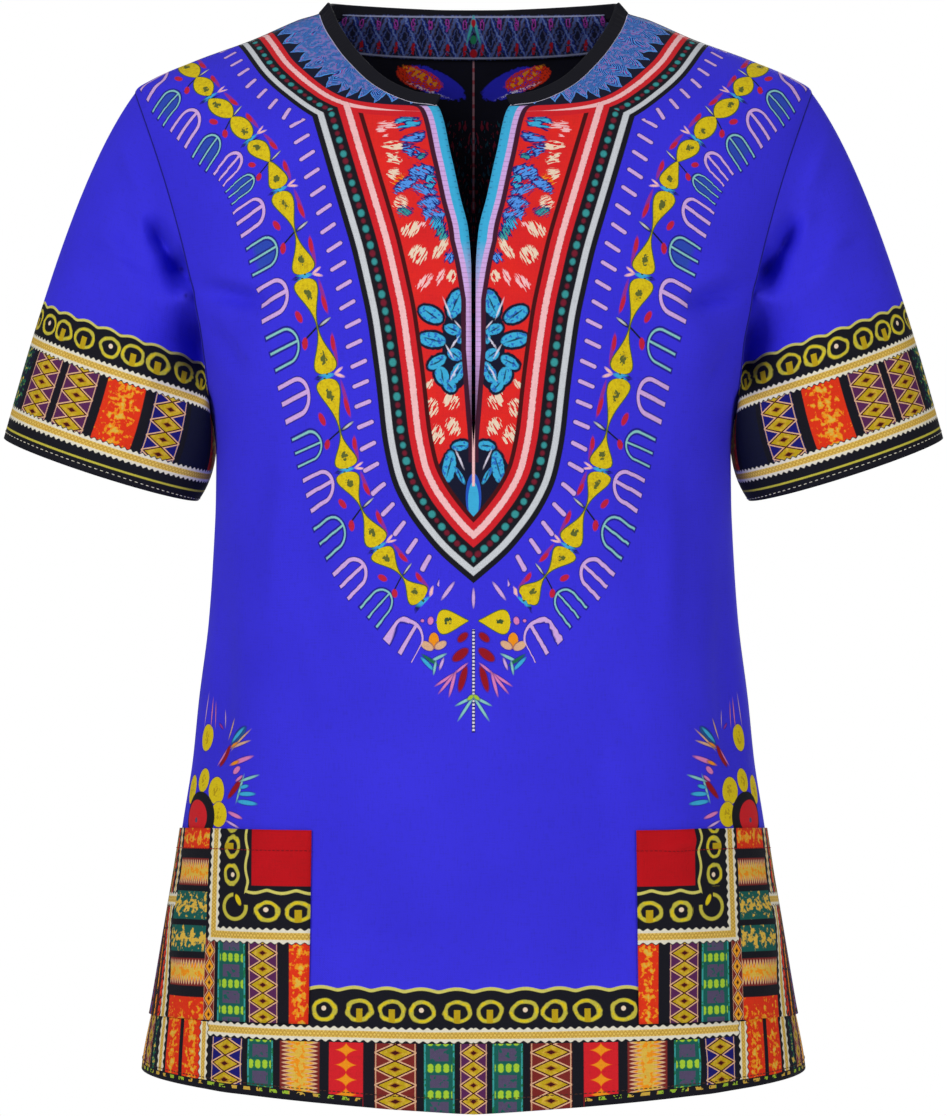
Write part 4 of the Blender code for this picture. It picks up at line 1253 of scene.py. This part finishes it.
# The side print: a red square, a wavy line, rings round a corner, tape, blocks below and a column
# of blocks beside it, then strips out to the seam.
def pocketPrint():
    dye = Dye("pocketPrint")
    cloth = dye.attribute("clothAt")
    u, up, _ = dye.split(cloth)
    across, cut = abs(u), pocketLayout
    dye.colour = dye.mix(dye.noise(30), tones["pocketRed"], shade(174, 6, 16))
    # how far outside the red square, and where along its edge
    outX, outZ = across - cut["square"][0], -up - cut["square"][1]
    out = outX.math("MAXIMUM", outZ)
    byFoot = outZ > outX
    along = dye.pick(byFoot, across * 1.0, -up)
    dye.paint((-out).inside(), tones["black"])
    paintWave(dye, along, out - cut["wave"], period=0.0200, thick=0.0010)
    fromX, fromDown = cut["ringsFrom"]
    toX, toDown = cut["ringsTo"]
    short = dye.pick(byFoot, across < toX, up > -toDown)
    low, high = cut["ringBand"]
    paintRings(dye, dye.pick(byFoot, (across - fromX) * cut["squeeze"], -up - fromDown),
               cut["rings"] - out, cut["ringPitch"], short & (out > low) & (out < high),
               wide=0.0078, high=0.0072)
    # one open ring at the corner, with a small leaf in its gap
    turnX, turnZ = (across - cut["openRing"][0]) * 0.86, up + cut["openRing"][1]
    curl = dye.vector("LENGTH", dye.join(turnX, turnZ, 0.0))
    gap = (turnX < 0.0010) & (turnZ > 0.0015) & (curl > 0.0040)
    low, high = cut["openBand"]
    curl = (abs(curl - cut["openRadius"]) - cut["openHalf"]).inside(0.0007)
    dye.paint(curl & (out > low) & (out < high) & (1 - gap), tones["ring"])
    dye.paint(dye.fromRow(dye.join(across, up), cut["openLeaf"]), tones["yellow"])
    beyond = out > cut["blocks"]
    low, high = cut["column"]
    paintBlocks(dye, across, up, pocketRows,
                beyond & (up < -cut["rowsBelow"]) & (across < cut["rowsTo"]))
    paintBlocks(dye, up, across, columnRows, beyond & (across > low) & (across < high))
    side = across > high
    dye.paint(side, tones["black"])
    strips = dye.stripes(across, sideStrips[0][0], sideStrips[-1][0],
                         [(at, tones[tone]) for at, tone in sideStrips[:-1]])
    dye.paint(side & (dye.noise(300, 3) > 0.46), strips)
    paintTape(dye, up, across - cut["lowTape"], side & (up < -cut["cross"]))
    paintTape(dye, up, across - cut["highTape"], side & (up > -cut["cross"]), half=0.0024)
    paintTape(dye, across, up + cut["cross"] + 0.0010, side & (across < cut["crossTo"]),
              half=0.0040)
    paintWave(dye, up, across - cut["sideWave"], side & (up > 0.0020 - cut["cross"]),
              thick=0.0009)
    toX, toDown = cut["tapeTo"]
    paintTape(dye, along, out - cut["tape"],
              (out < cut["tapeBand"]) & (across < toX) & (up > -toDown), half=0.0046)
    return dye.finish(cloth)


cuffCut = {
    "line": 0.0082, "lineHalf": 0.0007, "tape": 0.0196, "blocks": (0.0240, 0.0672),
    "upperTape": 0.0716, "rings": 0.0868, "ringPitch": 0.0190, "wave": 0.0980, "reach": 0.105,
}
# The block from 0.154 to 0.180 round is a print block painted plain navy: painted shade where the
# cuff turns in towards the body.
cuffBlocks = [(0.0000, 0.0243, "dark"), (0.0285, 0.0546, "plum"), (0.0598, 0.0845, "plum"),
              (0.0907, 0.1180, "flame"), (0.1250, 0.1496, "indigo"), (0.1540, 0.1800, "paintedShade"),
              (0.1860, 0.2100, "flame")]


# The sleeve's border, by the distance from the cuff and the way round from the outer fold.
def sleevePrint():
    dye = Dye("sleevePrint")
    cloth = dye.attribute("clothAt")
    blueGround(dye)
    around, up, _ = dye.split(cloth)
    wave = cuffCut["wave"]
    dye.paint((up - wave - 0.0004).inside(), tones["black"])
    paintWave(dye, around, up - wave, period=0.0185, thick=0.0009)
    paintRings(dye, around, up - cuffCut["rings"], cuffCut["ringPitch"], wide=0.0084,
               high=0.0074, thick=0.0022)
    low, high = cuffCut["blocks"]
    paintBlocks(dye, around, up, cuffBlocks, (up > low) & (up < high))
    for at in ("tape", "upperTape"):
        paintTape(dye, around, up - cuffCut[at], half=0.0042, period=0.0042)
    dye.paint((abs(up - cuffCut["line"]) - cuffCut["lineHalf"]).inside(), tones["ring"])
    return dye.finish(cloth)


# Outlines of the print on half the shirt, as (x, z) from the shoulder to the centre.
outlines = {
    "ring": [(0.2000, 0.0120), (0.1630, -0.0245), (0.1460, -0.0522), (0.1238, -0.0718),
             (0.1090, -0.0838), (0.0900, -0.0915), (0.0613, -0.0955), (0.0000, -0.0975)],
    "slant": [(0.1290, -0.0150), (0.1220, -0.0400), (0.1155, -0.0620), (0.1090, -0.0838),
              (0.0947, -0.1320), (0.0816, -0.1752), (0.0714, -0.2200), (0.0652, -0.2650),
              (0.0613, -0.3029), (0.0550, -0.3324), (0.0434, -0.3542), (0.0242, -0.3785),
              (0.0000, -0.3990), (-0.0300, -0.4240)],
    "leaf": [(0.2180, -0.0080), (0.2075, -0.0260), (0.1975, -0.0419), (0.1848, -0.0586),
             (0.1699, -0.0771), (0.1556, -0.0906), (0.1408, -0.1052), (0.1323, -0.1229),
             (0.1238, -0.1493), (0.1161, -0.1766), (0.1079, -0.2119), (0.1018, -0.2422),
             (0.0944, -0.2718), (0.0880, -0.3048), (0.0830, -0.3320), (0.0715, -0.3590),
             (0.0581, -0.3820), (0.0406, -0.4050), (0.0178, -0.4243), (-0.0060, -0.4400)],
}
backOutlines = {"ring": (0.163, 0.125, -0.0245), "leaf": (0.2075, 0.170, -0.026)}
# The heights that part the front's leaves, counted up from the lowest.
leafHeights = [-0.4101, -0.3942, -0.3740, -0.3486, -0.3226, -0.2966, -0.2594, -0.2266, -0.1919,
               -0.1619, -0.1321, -0.1134, -0.0965, -0.0811, -0.0646, -0.0500, -0.0340, -0.0180,
               -0.0020]


def eased(values, times):
    for _ in range(times):
        ends = values[0].copy(), values[-1].copy()
        values = (np.roll(values, 1, axis=0) + 2 * values + np.roll(values, -1, axis=0)) / 4
        values[0], values[-1] = ends
    return values


# An outline's places on the cloth, evenly spaced and rounded off.
def laidPath(line, face, smooth, count=140):
    line = np.array(line)
    run = np.concatenate([[0], np.cumsum(np.linalg.norm(np.diff(line, axis=0), axis=1))])
    at = np.linspace(0, run[-1], count)
    line = eased(np.stack([np.interp(at, run, line[:, k]) for k in (0, 1)], axis=1), smooth)
    side = np.where(line[:, 0] < 0, -1.0, 1.0)
    path = bodyPoint(turnOf(line[:, 0], line[:, 1]), line[:, 1], side, face, ())
    # past the shoulder seam it runs straight on
    first = int(np.argmax(np.abs(line[:, 0]) < halfWidth(line[:, 1]) - 0.001))
    back = path[first] - path[first + 3]
    reach = np.arange(first, 0, -1)[:, None] / 3
    return np.concatenate([path[first] + back * reach, path[first:]])


def backOutline(wide, deep, top):
    turn = np.linspace(-0.12, np.pi / 2 + 0.12, 40)
    return np.stack([wide * np.cos(turn), top - deep * np.sin(turn)], axis=1)


# Place along a path, and distance from it: more than nought on the side away from the centre.
def besidePath(points, path):
    least = np.full(len(points), np.inf)
    along, beside = np.zeros(len(points)), np.zeros(len(points))
    start = 0.0
    for a, b in zip(path[:-1], path[1:]):
        step = b - a
        reach = np.linalg.norm(step)
        w = points - a
        t = np.clip(w @ step / reach**2, 0, 1)
        far = np.linalg.norm(w - t[:, None] * step, axis=1)
        turned = step[0] * w[:, 2] - step[2] * w[:, 0]
        closer = far < least
        least = np.where(closer, far, least)
        along = np.where(closer, start + t * reach, along)
        beside = np.where(closer, far * np.where(turned < 0, -1, 1), beside)
        start += reach
    return along, beside


# Leaves are counted up from the row's foot, in front by their heights and behind by their length.
def leafNumber(path, along, face):
    steps = np.linalg.norm(np.diff(path, axis=0), axis=1)
    run = np.concatenate([[0], np.cumsum(steps)])
    if face > 0:
        return (run[-1] - along) / leafRow["step"]
    number = np.interp(path[:, 2], leafHeights, np.arange(len(leafHeights)))
    foot = np.argmax(path[:, 2] < leafHeights[0])
    past = np.maximum(run - run[foot], 0) / leafRow["step"]
    return np.interp(along, run, number - past)


# What the print follows at each point of a panel: the cloth's own measures and each outline's.
def panelMarks(panel, face):
    points = panel["plain"].copy()
    half = points.copy()
    half[:, 0] = np.abs(half[:, 0])
    marks = {"clothAt": np.stack([panel["arc"], points[:, 2], panel["fromEdge"]], axis=1)}
    for name in ("ring", "slant", "leaf"):
        if face > 0 and name == "slant":
            continue
        line = outlines[name] if face < 0 else backOutline(*backOutlines[name])
        path = laidPath(line, face, {"ring": 70, "slant": 12, "leaf": 40}[name])
        along, beside = besidePath(half, path)
        inward = -1 if name in ("ring", "slant") else 1
        spare = panel["fromNeck"] if name == "ring" else 0 * along
        if name == "leaf":
            along = leafNumber(path, along, face)
        marks[name + "At"] = np.stack([along, inward * beside, spare], axis=1)
    return marks


# The neck's edge from the slit's left corner round the back to its right corner, with the next
# column in and the cloth's normals.
def neckPath():
    inX = front["rows"][0]
    first = int(np.flatnonzero(inX >= 0.0255 - 1e-6)[0])
    backFirst = int(np.flatnonzero(back["rows"][0] < 1e-6)[-1])
    fore = [(front[h][first:, 0], front[h][first:, 2]) for h in ("left", "right")]
    rear = [(back[h][backFirst:-1, 0], back[h][backFirst:-1, 2]) for h in ("left", "right")]
    edge, near, lean = [], [], []
    for store, k, key in ((edge, 0, "points"), (near, 1, "points"), (lean, 0, "normals")):
        store.append(np.concatenate([
            front[key][fore[0][k]], back[key][rear[0][k]][::-1],
            back[key][rear[1][k]][1:], front[key][fore[1][k]][::-1]]))
    return edge[0], near[0], lean[0]


print("panels")
front = panelMesh(frontRows, -1, frontFolds)
back = panelMesh(backRows, 1, backFolds)
neckEdge = neckPath()[0]
for panel in (front, back):
    panel["fromNeck"] = np.abs(besidePath(panel["plain"], neckEdge)[1])


def finishPiece(piece, node):
    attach(piece, "root")
    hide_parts(node)
    print(node, len(piece.data.polygons))


# The cloth that each face takes: the last one whose mark's second number is below its reach.
def printedBy(faces, marks, **reaches):
    chosen = np.zeros(len(faces), int)
    for number, (mark, reach) in enumerate(reaches.items(), 1):
        chosen[marks[mark][:, 1][faces].min(axis=1) < reach] = number
    return chosen


def panelPiece(name, panel, marks, neckCloth, leafReach):
    piece = clothWall(name + "Panel", panel["points"], panel["inner"], panel["faces"],
                      marks=marks, inside=3, cloths=[flower, neckCloth, hem, wrong],
                      chosen=printedBy(panel["faces"], marks, leafAt=leafReach,
                                       clothAt=hemCut["reach"]))
    finishPiece(piece, name)


blue, flower = bluePlain("bluePlain", False), bluePlain("bluePrinted", True)
hem, pocket, cuff, wrong = hemPrint(), pocketPrint(), sleevePrint(), wrongSide()
panelPiece("front", front, panelMarks(front, -1), neckPrint("neckPrint", True),
           leafRow["frontReach"])
panelPiece("back", back, panelMarks(back, 1), neckPrint("neckPrintBehind", False),
           leafRow["backReach"])

sleeveCut = {
    "cuffTop": (0.3285, -0.2975),
    "cuffUnder": (0.1925, -0.3416),
    "cuffDepth": 0.058,
    "cuffDip": 0.0055,
    "topLeaves": (0.45, -0.60),  # the direction of the top line as (x, z) at the seam
    "topArrives": (0.26, -0.93),
    "underLeaves": (-0.12, -1.00),
    "underArrives": (0.66, -0.90),
    "rings": 100,
    "creaseFrom": 0.015,  # a crease starts this share down the sleeve
    "creaseFirm": 3, "creaseBehind": 0.7,
}


# The armhole's edge, down the front from the shoulder and up the back, with its normals and the
# angle round the sleeve that each point belongs to.
def armholeLoop(side):
    half = "left" if side < 0 else "right"
    parts = []
    for panel, face in ((front, -1), (back, 1)):
        outZ = panel["rows"][2]
        rows = np.flatnonzero(outZ >= form["underarm"][1] - 1e-9)
        at = panel[half][rows, -1]
        key = np.array(armholeSteps[face])
        q = np.interp(outZ[rows], key, np.arange(len(key))) / (len(key) - 1)
        parts.append((panel["points"][at], panel["normals"][at], q))
    (ahead, aheadLean, aheadQ), (behind, behindLean, behindQ) = parts
    loop = np.concatenate([ahead[::-1], behind[1:-1]])
    normals = np.concatenate([aheadLean[::-1], behindLean[1:-1]])
    angle = np.pi * np.concatenate([1 - aheadQ[::-1], 1 + behindQ[1:-1]])
    under = len(ahead) - 1
    loop[0] = (ahead[-1] + behind[-1]) / 2
    loop[under] = (ahead[0] + behind[0]) / 2
    normals[0] = unit(normals[0] + behindLean[-1])
    normals[under] = unit(normals[under] + behindLean[0])
    return loop, normals, angle


thread = {
    "pitch": 0.0032, "length": 0.0022, "radius": 0.00030, "sides": 6, "sunk": 0.5,
    "share": (-1.0, -0.8, 0.0, 0.8, 1.0),  # where a stitch's rings lie, and how wide each is
    "wide": (0.35, 0.85, 1.0, 0.85, 0.35),
    "hemRow": 3, "cuffRow": -3, "mouthRow": -7, "cuffPitch": 0.0042,  # mesh rows they lie on
    "seam": 0.0008, "seamHeight": 0.8, "seamSunk": 0.5, "seamSides": 8,
}


# A thin rolled tube over the join of two pieces; its material's colour, darker than the cloth, is
# painted shade along the seam.
def seamRoll(name, path, normals, material, closed=False):
    way = np.roll(path, -1, 0) - np.roll(path, 1, 0) if closed else np.gradient(path, axis=0)
    side = unit(np.cross(normals, unit(way)))
    turn = np.arange(thread["seamSides"])[None, :, None] * 2 * np.pi / thread["seamSides"]
    over = np.sin(turn) * thread["seamHeight"] - thread["seamSunk"]
    ring = path[:, None] + thread["seam"] * (side[:, None] * np.cos(turn)
                                             + normals[:, None] * over)
    sewn(solidPiece(name, ring, tubeFaces(len(path), thread["seamSides"], closed), material))


def sewn(piece):
    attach(piece, "root")


# A row of stitches along a line of the cloth: each is a short thread, flattened and round-ended.
def stitched(name, path, normals, material, pitch=thread["pitch"], closed=False):
    if closed:
        path, normals = (np.concatenate([a, a[:1]]) for a in (path, normals))
    run = np.concatenate([[0], np.cumsum(np.linalg.norm(np.diff(path, axis=0), axis=1))])
    at = np.arange(pitch / 2, run[-1], pitch)

    def read(values, where):
        return np.stack([np.interp(where, run, values[:, k]) for k in range(3)], axis=1)

    middle, up = read(path, at), unit(read(normals, at))
    way = unit(read(path, at + pitch / 4) - read(path, at - pitch / 4))
    side = np.cross(up, way)
    share, wide = (np.array(thread[key])[:, None] for key in ("share", "wide"))
    wide = wide * thread["radius"]
    turn = np.arange(thread["sides"])[None, :] * 2 * np.pi / thread["sides"]
    lengths = share * thread["length"] / 2 + 0 * turn
    out, over = wide * np.cos(turn), wide * np.sin(turn) + thread["radius"] * thread["sunk"]
    points = sum(axis[:, None, None] * reach[None, ..., None]
                 for axis, reach in ((way, lengths), (side, out), (up, over)))
    points = points + middle[:, None, None]
    index = np.arange(len(at) * lengths.size).reshape(len(at), *lengths.shape)
    wrapped = np.concatenate([index, index[:, :, :1]], axis=2)
    a, b, c, d = (wrapped[:, :-1, :-1], wrapped[:, :-1, 1:], wrapped[:, 1:, 1:],
                  wrapped[:, 1:, :-1])
    faces = np.stack([a, b, c, d], axis=-1).reshape(-1, 4).tolist()
    faces += index[:, 0, ::-1].tolist() + index[:, -1].tolist()
    print(name, len(at))
    sewn(solidPiece(name, points, faces, material))


def sleeveWay(top, under, side, down):
    x, z = (a + (b - a) * down for a, b in zip(top, under))
    return np.stack([side * x, 0 * x, z], axis=1)


# A tube: every line is a cubic that leaves the armhole and arrives at the cuff's ellipse.
def sleeveMesh(side):
    loop, normals, angle = armholeLoop(side)
    gap = form["seamGap"]
    down = (1 - np.cos(angle)) / 2
    tangent = unit(np.roll(loop, -1, axis=0) - np.roll(loop, 1, axis=0))
    away = unit(np.cross(tangent, normals))
    away *= np.sign(away[0, 0] * side)
    lap = (down**2)[:, None]
    seam = loop + gap * unit(away * (1 - lap) + normals * lap)
    seam[:, 0] += side * gap * lap[:, 0]
    top, bottom = np.array(sleeveCut["cuffTop"]), np.array(sleeveCut["cuffUnder"])
    depth = sleeveCut["cuffDepth"]
    cuff = np.zeros((len(loop), 3))
    cuff[:, 0] = side * (top[0] + (bottom[0] - top[0]) * down)
    cuff[:, 1] = -depth * np.sin(angle)
    cuff[:, 2] = top[1] + (bottom[1] - top[1]) * down
    cuff[:, 2] -= sleeveCut["cuffDip"] * np.clip(-cuff[:, 1] / depth, 0, 1)
    reach = np.linalg.norm(cuff - seam, axis=1)[:, None]
    leave = reach * sleeveWay(sleeveCut["topLeaves"], sleeveCut["underLeaves"], side, down)
    arrive = reach * sleeveWay(sleeveCut["topArrives"], sleeveCut["underArrives"], side, down)
    u = np.linspace(0, 1, sleeveCut["rings"] + 1)[:, None, None]
    grid = ((1 + 2 * u) * (1 - u) ** 2 * seam + u * (1 - u) ** 2 * leave
            + u * u * (3 - 2 * u) * cuff - u * u * (1 - u) * arrive)
    steps = np.linalg.norm(np.diff(grid, axis=0), axis=2)[::-1]
    facing = np.where(np.sin(angle) > 0, -1.0, 1.0) * np.abs(np.sin(angle))
    across, tall = np.abs(grid[..., 0]), grid[..., 2]
    lift = folded(across, tall, sleeveFolds) * np.sin(np.pi * u[..., 0])
    crease = folded(across, tall, sleeveCreases)
    crease = crease * np.clip(u[..., 0] / sleeveCut["creaseFrom"], 0, 1)
    firm = np.sign(facing) * np.clip(sleeveCut["creaseFirm"] * np.abs(facing), 0, 1)
    firm = firm * np.where(np.sin(angle) > 0, 1.0, sleeveCut["creaseBehind"])
    grid[..., 1] += facing * lift + firm * crease
    index = np.arange(grid.shape[0] * len(loop)).reshape(-1, len(loop))
    faces = gridFaces(np.concatenate([index, index[:, :1]], axis=1))
    points = grid.reshape(-1, 3)
    outward = vertexNormals(points, faces)
    outward *= np.sign(outward[0, 0] * side)
    ends = grid[-1, :, :]
    around = np.linalg.norm(np.diff(np.concatenate([ends, ends[:1]]), axis=0), axis=1)
    around = np.minimum(np.concatenate([[0], np.cumsum(around)[:-1]]),
                        np.sum(around) - np.concatenate([[0], np.cumsum(around)[:-1]]))
    up = np.concatenate([0 * steps[:1], np.cumsum(steps, axis=0)])[::-1]
    marks = {"clothAt": np.stack([np.broadcast_to(around, up.shape), up, 0 * up],
                                 axis=2).reshape(-1, 3)}
    join = ((loop + grid[0]) / 2, unit(normals + outward[:len(loop)]))
    return points, points - outward * form["cloth"], faces, marks, outward, index, join


paleThread = evenCotton("paleThread", tones["trim"])
darkThread = evenCotton("darkThread", shade(84, 52, 44))
redThread = evenCotton("redThread", shade(150, 14, 28))
# The seam rolls are real, but their colours, darker than the cloth they join, are painted shade in
# the seams' grooves.
shadedSeamBlue = evenCotton("shadedSeamBlue", shade(30, 26, 140))
shadedSeamNavy = evenCotton("shadedSeamNavy", tones["navy"])
print("seams")
for name, half in (("Left", "left"), ("Right", "right")):
    fore, rear = front[half], back[half]
    ends = fore[-1], rear[-1]
    seamRoll("shoulderSeam" + name, (front["points"][ends[0]] + back["points"][ends[1]]) / 2,
             unit(front["normals"][ends[0]] + back["normals"][ends[1]]), shadedSeamNavy)
    low = front["rows"][2] <= form["underarm"][1] + 1e-9
    edge = front["points"][fore[low, -1]] * (1, 0, 1)
    seamRoll("sideSeam" + name, edge, np.sign(edge[:, :1]) * (1.0, 0, 0), shadedSeamBlue)
print("sleeves")
for name, side in (("left", -1), ("right", 1)):
    points, inner, faces, marks, outward, index, join = sleeveMesh(side)
    seamRoll("armholeSeam" + name.title(), *join, shadedSeamBlue, closed=True)
    piece = clothWall("sleeve" + name.title(), points, inner, faces, marks=marks,
                      cloths=[blue, cuff], inside=0,
                      chosen=printedBy(faces, marks, clothAt=cuffCut["reach"]))
    finishPiece(piece, "sleeve_" + name)
    row = index[thread["cuffRow"]]
    stitched("cuffStitches" + name.title(), points[row], outward[row], paleThread,
             pitch=thread["cuffPitch"], closed=True)

pocketCut = {
    "topX": 0.1085, "topZ": -0.5650,
    "footX": 0.1106, "footZ": -0.6940,
    "gap": 0.0007,
    "droop": 0.0060,
    "cloth": 0.0010,
    "columns": 48, "rows": 56,
}


# A patch laid on the front from its inner edge to the side seam.
def pocketMesh(side):
    z = np.linspace(pocketCut["footZ"], pocketCut["topZ"], pocketCut["rows"] + 1)[:, None]
    edgeX = np.interp(z, (pocketCut["footZ"], pocketCut["topZ"]),
                      (pocketCut["footX"], pocketCut["topX"]))
    share = np.linspace(0, 1, pocketCut["columns"] + 1)[None, :]
    turn = turnOf(edgeX, z) * (1 - share)
    z = z + 0 * turn
    hung = z - pocketCut["droop"] * share**2
    base = bodyPoint(turn, hung, side, -1, frontFolds)
    faces = gridFaces(np.arange(z.size).reshape(z.shape))
    flatBase = base.reshape(-1, 3)
    normals = vertexNormals(flatBase, faces)
    normals *= np.sign(-normals[:, 1:2])
    top = flatBase + normals * (pocketCut["gap"] + pocketCut["cloth"])
    rows = z[:, :1]
    edge = turn[:, :1]
    fromCentre = bodyPoint(np.pi / 2 + (edge - np.pi / 2) * np.linspace(0, 1, 201), rows, 1, -1, ())
    start = np.linalg.norm(np.diff(fromCentre, axis=1), axis=2).sum(axis=1, keepdims=True)
    steps = np.linalg.norm(np.diff(bodyPoint(turn, z, 1, -1, ()), axis=1), axis=2)
    arc = np.concatenate([start, start + np.cumsum(steps, axis=1)], axis=1)
    marks = {"clothAt": np.stack([side * arc, z, 0 * z], axis=2).reshape(-1, 3)}
    index = np.arange(z.size).reshape(z.shape)
    return top, flatBase + normals * pocketCut["gap"], faces, marks, normals, index


print("hem")
for name, panel in (("Front", front), ("Back", back)):
    row = np.concatenate([panel["left"][thread["hemRow"], ::-1],
                          panel["right"][thread["hemRow"], 1:]])
    stitched("hemStitches" + name, panel["points"][row], panel["normals"][row], darkThread)

print("pockets")
for name, side in (("left", -1), ("right", 1)):
    top, under, faces, marks, normals, index = pocketMesh(side)
    row = index[thread["mouthRow"], ::-1]
    stitched("pocketStitches" + name.title(), top[row], normals[row], redThread)
    piece = clothWall("pocket" + name.title(), top, under, faces, marks=marks, cloths=[pocket])
    finishPiece(piece, "pocket_" + name)

bindingCut = {"width": 0.009, "wall": 0.0024, "lift": 0.2, "lap": 0.0012, "round": 9}


# The bound edge: a flat rounded section carried along the neck's edge.
def bindingMesh():
    edge, near, lean = neckPath()
    tangent = unit(np.gradient(edge, axis=0))
    across = edge - near
    across = unit(across - tangent * (across * tangent).sum(axis=1, keepdims=True))
    across = unit(eased(across, 30) + np.array([0, 0, bindingCut["lift"]]))
    normal = unit(np.cross(tangent, across))
    normal *= np.sign((normal * lean).sum(axis=1, keepdims=True))
    normal = unit(eased(normal, 30))
    middle = edge - normal * form["cloth"] / 2
    half = bindingCut["wall"] / 2
    turn = np.linspace(np.pi / 2, -np.pi / 2, bindingCut["round"])
    along = np.concatenate([[-bindingCut["lap"]], bindingCut["width"] - half + half * np.cos(turn),
                            [-bindingCut["lap"]]])
    out = np.concatenate([[half], half * np.sin(turn), [-half]])
    ring = (middle[:, None] + across[:, None] * along[None, :, None]
            + normal[:, None] * out[None, :, None])
    return solidPiece("neckBinding", ring, tubeFaces(*ring.shape[:2]),
                      evenCotton("bindingTape", tones["black"]), smooth=False)


print("binding")
binding = bindingMesh()
finishPiece(binding, "neck_binding")

facingCut = {"fromDegrees": 30, "drop": -0.0052, "depth": 0.0290, "gap": 0.0010,
             "cloth": 0.0010, "around": 90, "deep": 16}


# The shaped strip inside the back of the neck, deepest at the centre.
def facingMesh():
    start = np.radians(facingCut["fromDegrees"])
    turn = np.linspace(start, np.pi - start, facingCut["around"] + 1)[None, :]
    v = np.linspace(0, 1, facingCut["deep"] + 1)[:, None]
    z = -facingCut["drop"] * np.sin(turn) - v * facingCut["depth"] * np.sin(turn)
    side = np.where(turn < np.pi / 2, 1.0, -1.0)
    near = np.minimum(turn, np.pi - turn) + 0 * z
    base = bodyPoint(near, z, side, 1, backFolds).reshape(-1, 3)
    faces = gridFaces(np.arange(z.size).reshape(z.shape))
    normals = vertexNormals(base, faces)
    normals *= np.sign(normals[:, 1:2])
    outer = base - normals * (form["cloth"] + facingCut["gap"])
    share = np.broadcast_to(v, z.shape)
    marks = {"clothAt": np.stack([base[:, 0], -z.ravel(), share.ravel()], axis=1)}
    return outer, outer - normals * facingCut["cloth"], faces, marks


outer, inner, faces, marks = facingMesh()
facing = clothWall("backNeckFacing", outer, inner, faces, marks=marks, cloths=[facingPrint()])
finishPiece(facing, "back_neck_facing")

studio = {
    "distance": 3.0, "height": -0.382, "lens": 138.25, "sensor": 36, "room": 0.25,
    "floor": -1.30, "wide": 7, "paint": (0.82, 0.82, 0.82, 1),
    "aim": (0, 0, -0.38),
    "lamps": [  # name, place, size and power
        ("keyLight", (-1.9, -2.8, 0.8), 1.4, 58),
        ("fillLight", (2.2, -2.6, 0.0), 1.6, 30),
        ("topLight", (0.0, 0.4, 2.4), 1.6, 8),
        ("backLight", (0.6, 3.2, 0.8), 1.8, 60),
    ],
}


def card(name, width, depth, place):
    mesh = bpy.data.meshes.new(name)
    w, d = width / 2, depth / 2
    mesh.from_pydata([(-w, -d, place), (w, -d, place), (w, d, place), (-w, d, place)], [],
                     [(0, 1, 2, 3)])
    paint = bpy.data.materials.new(name + "Paint")
    paint.use_nodes = True
    shader = paint.node_tree.nodes["Principled BSDF"]
    shader.inputs["Base Color"].default_value = studio["paint"]
    mesh.materials.append(paint)
    placed(name, mesh)


card("floor", studio["wide"], studio["wide"], studio["floor"])


def areaLight(name, place, size, power):
    data = bpy.data.lights.new(name, "AREA")
    data.shape, data.size, data.energy = "DISK", size, power
    made = placed(name, data)
    made.location = place
    aim = Vector(studio["aim"]) - Vector(place)
    made.rotation_euler = aim.to_track_quat("-Z", "Y").to_euler()


for lamp in studio["lamps"]:
    areaLight(*lamp)

# The room is white to look at and dimmer as a light.
world = bpy.data.worlds.new("softRoom")
world.use_nodes = True
nodes, links = world.node_tree.nodes, world.node_tree.links
path = nodes.new("ShaderNodeLightPath")
seen = nodes.new("ShaderNodeMapRange")
seen.inputs["To Min"].default_value, seen.inputs["To Max"].default_value = studio["room"], 1.0
links.new(path.outputs["Is Camera Ray"], seen.inputs["Value"])
links.new(seen.outputs["Result"], nodes["Background"].inputs["Strength"])
nodes["Background"].inputs["Color"].default_value = (1, 1, 1, 1)
bpy.context.scene.world = world
bpy.context.scene.view_settings.view_transform = "Standard"

lens = bpy.data.cameras.new("camera")
lens.lens, lens.sensor_width = studio["lens"], studio["sensor"]
camera = placed("camera", lens)
camera.location = (0, -studio["distance"], studio["height"])
camera.rotation_euler = (np.pi / 2, 0, 0)
bpy.context.scene.camera = camera
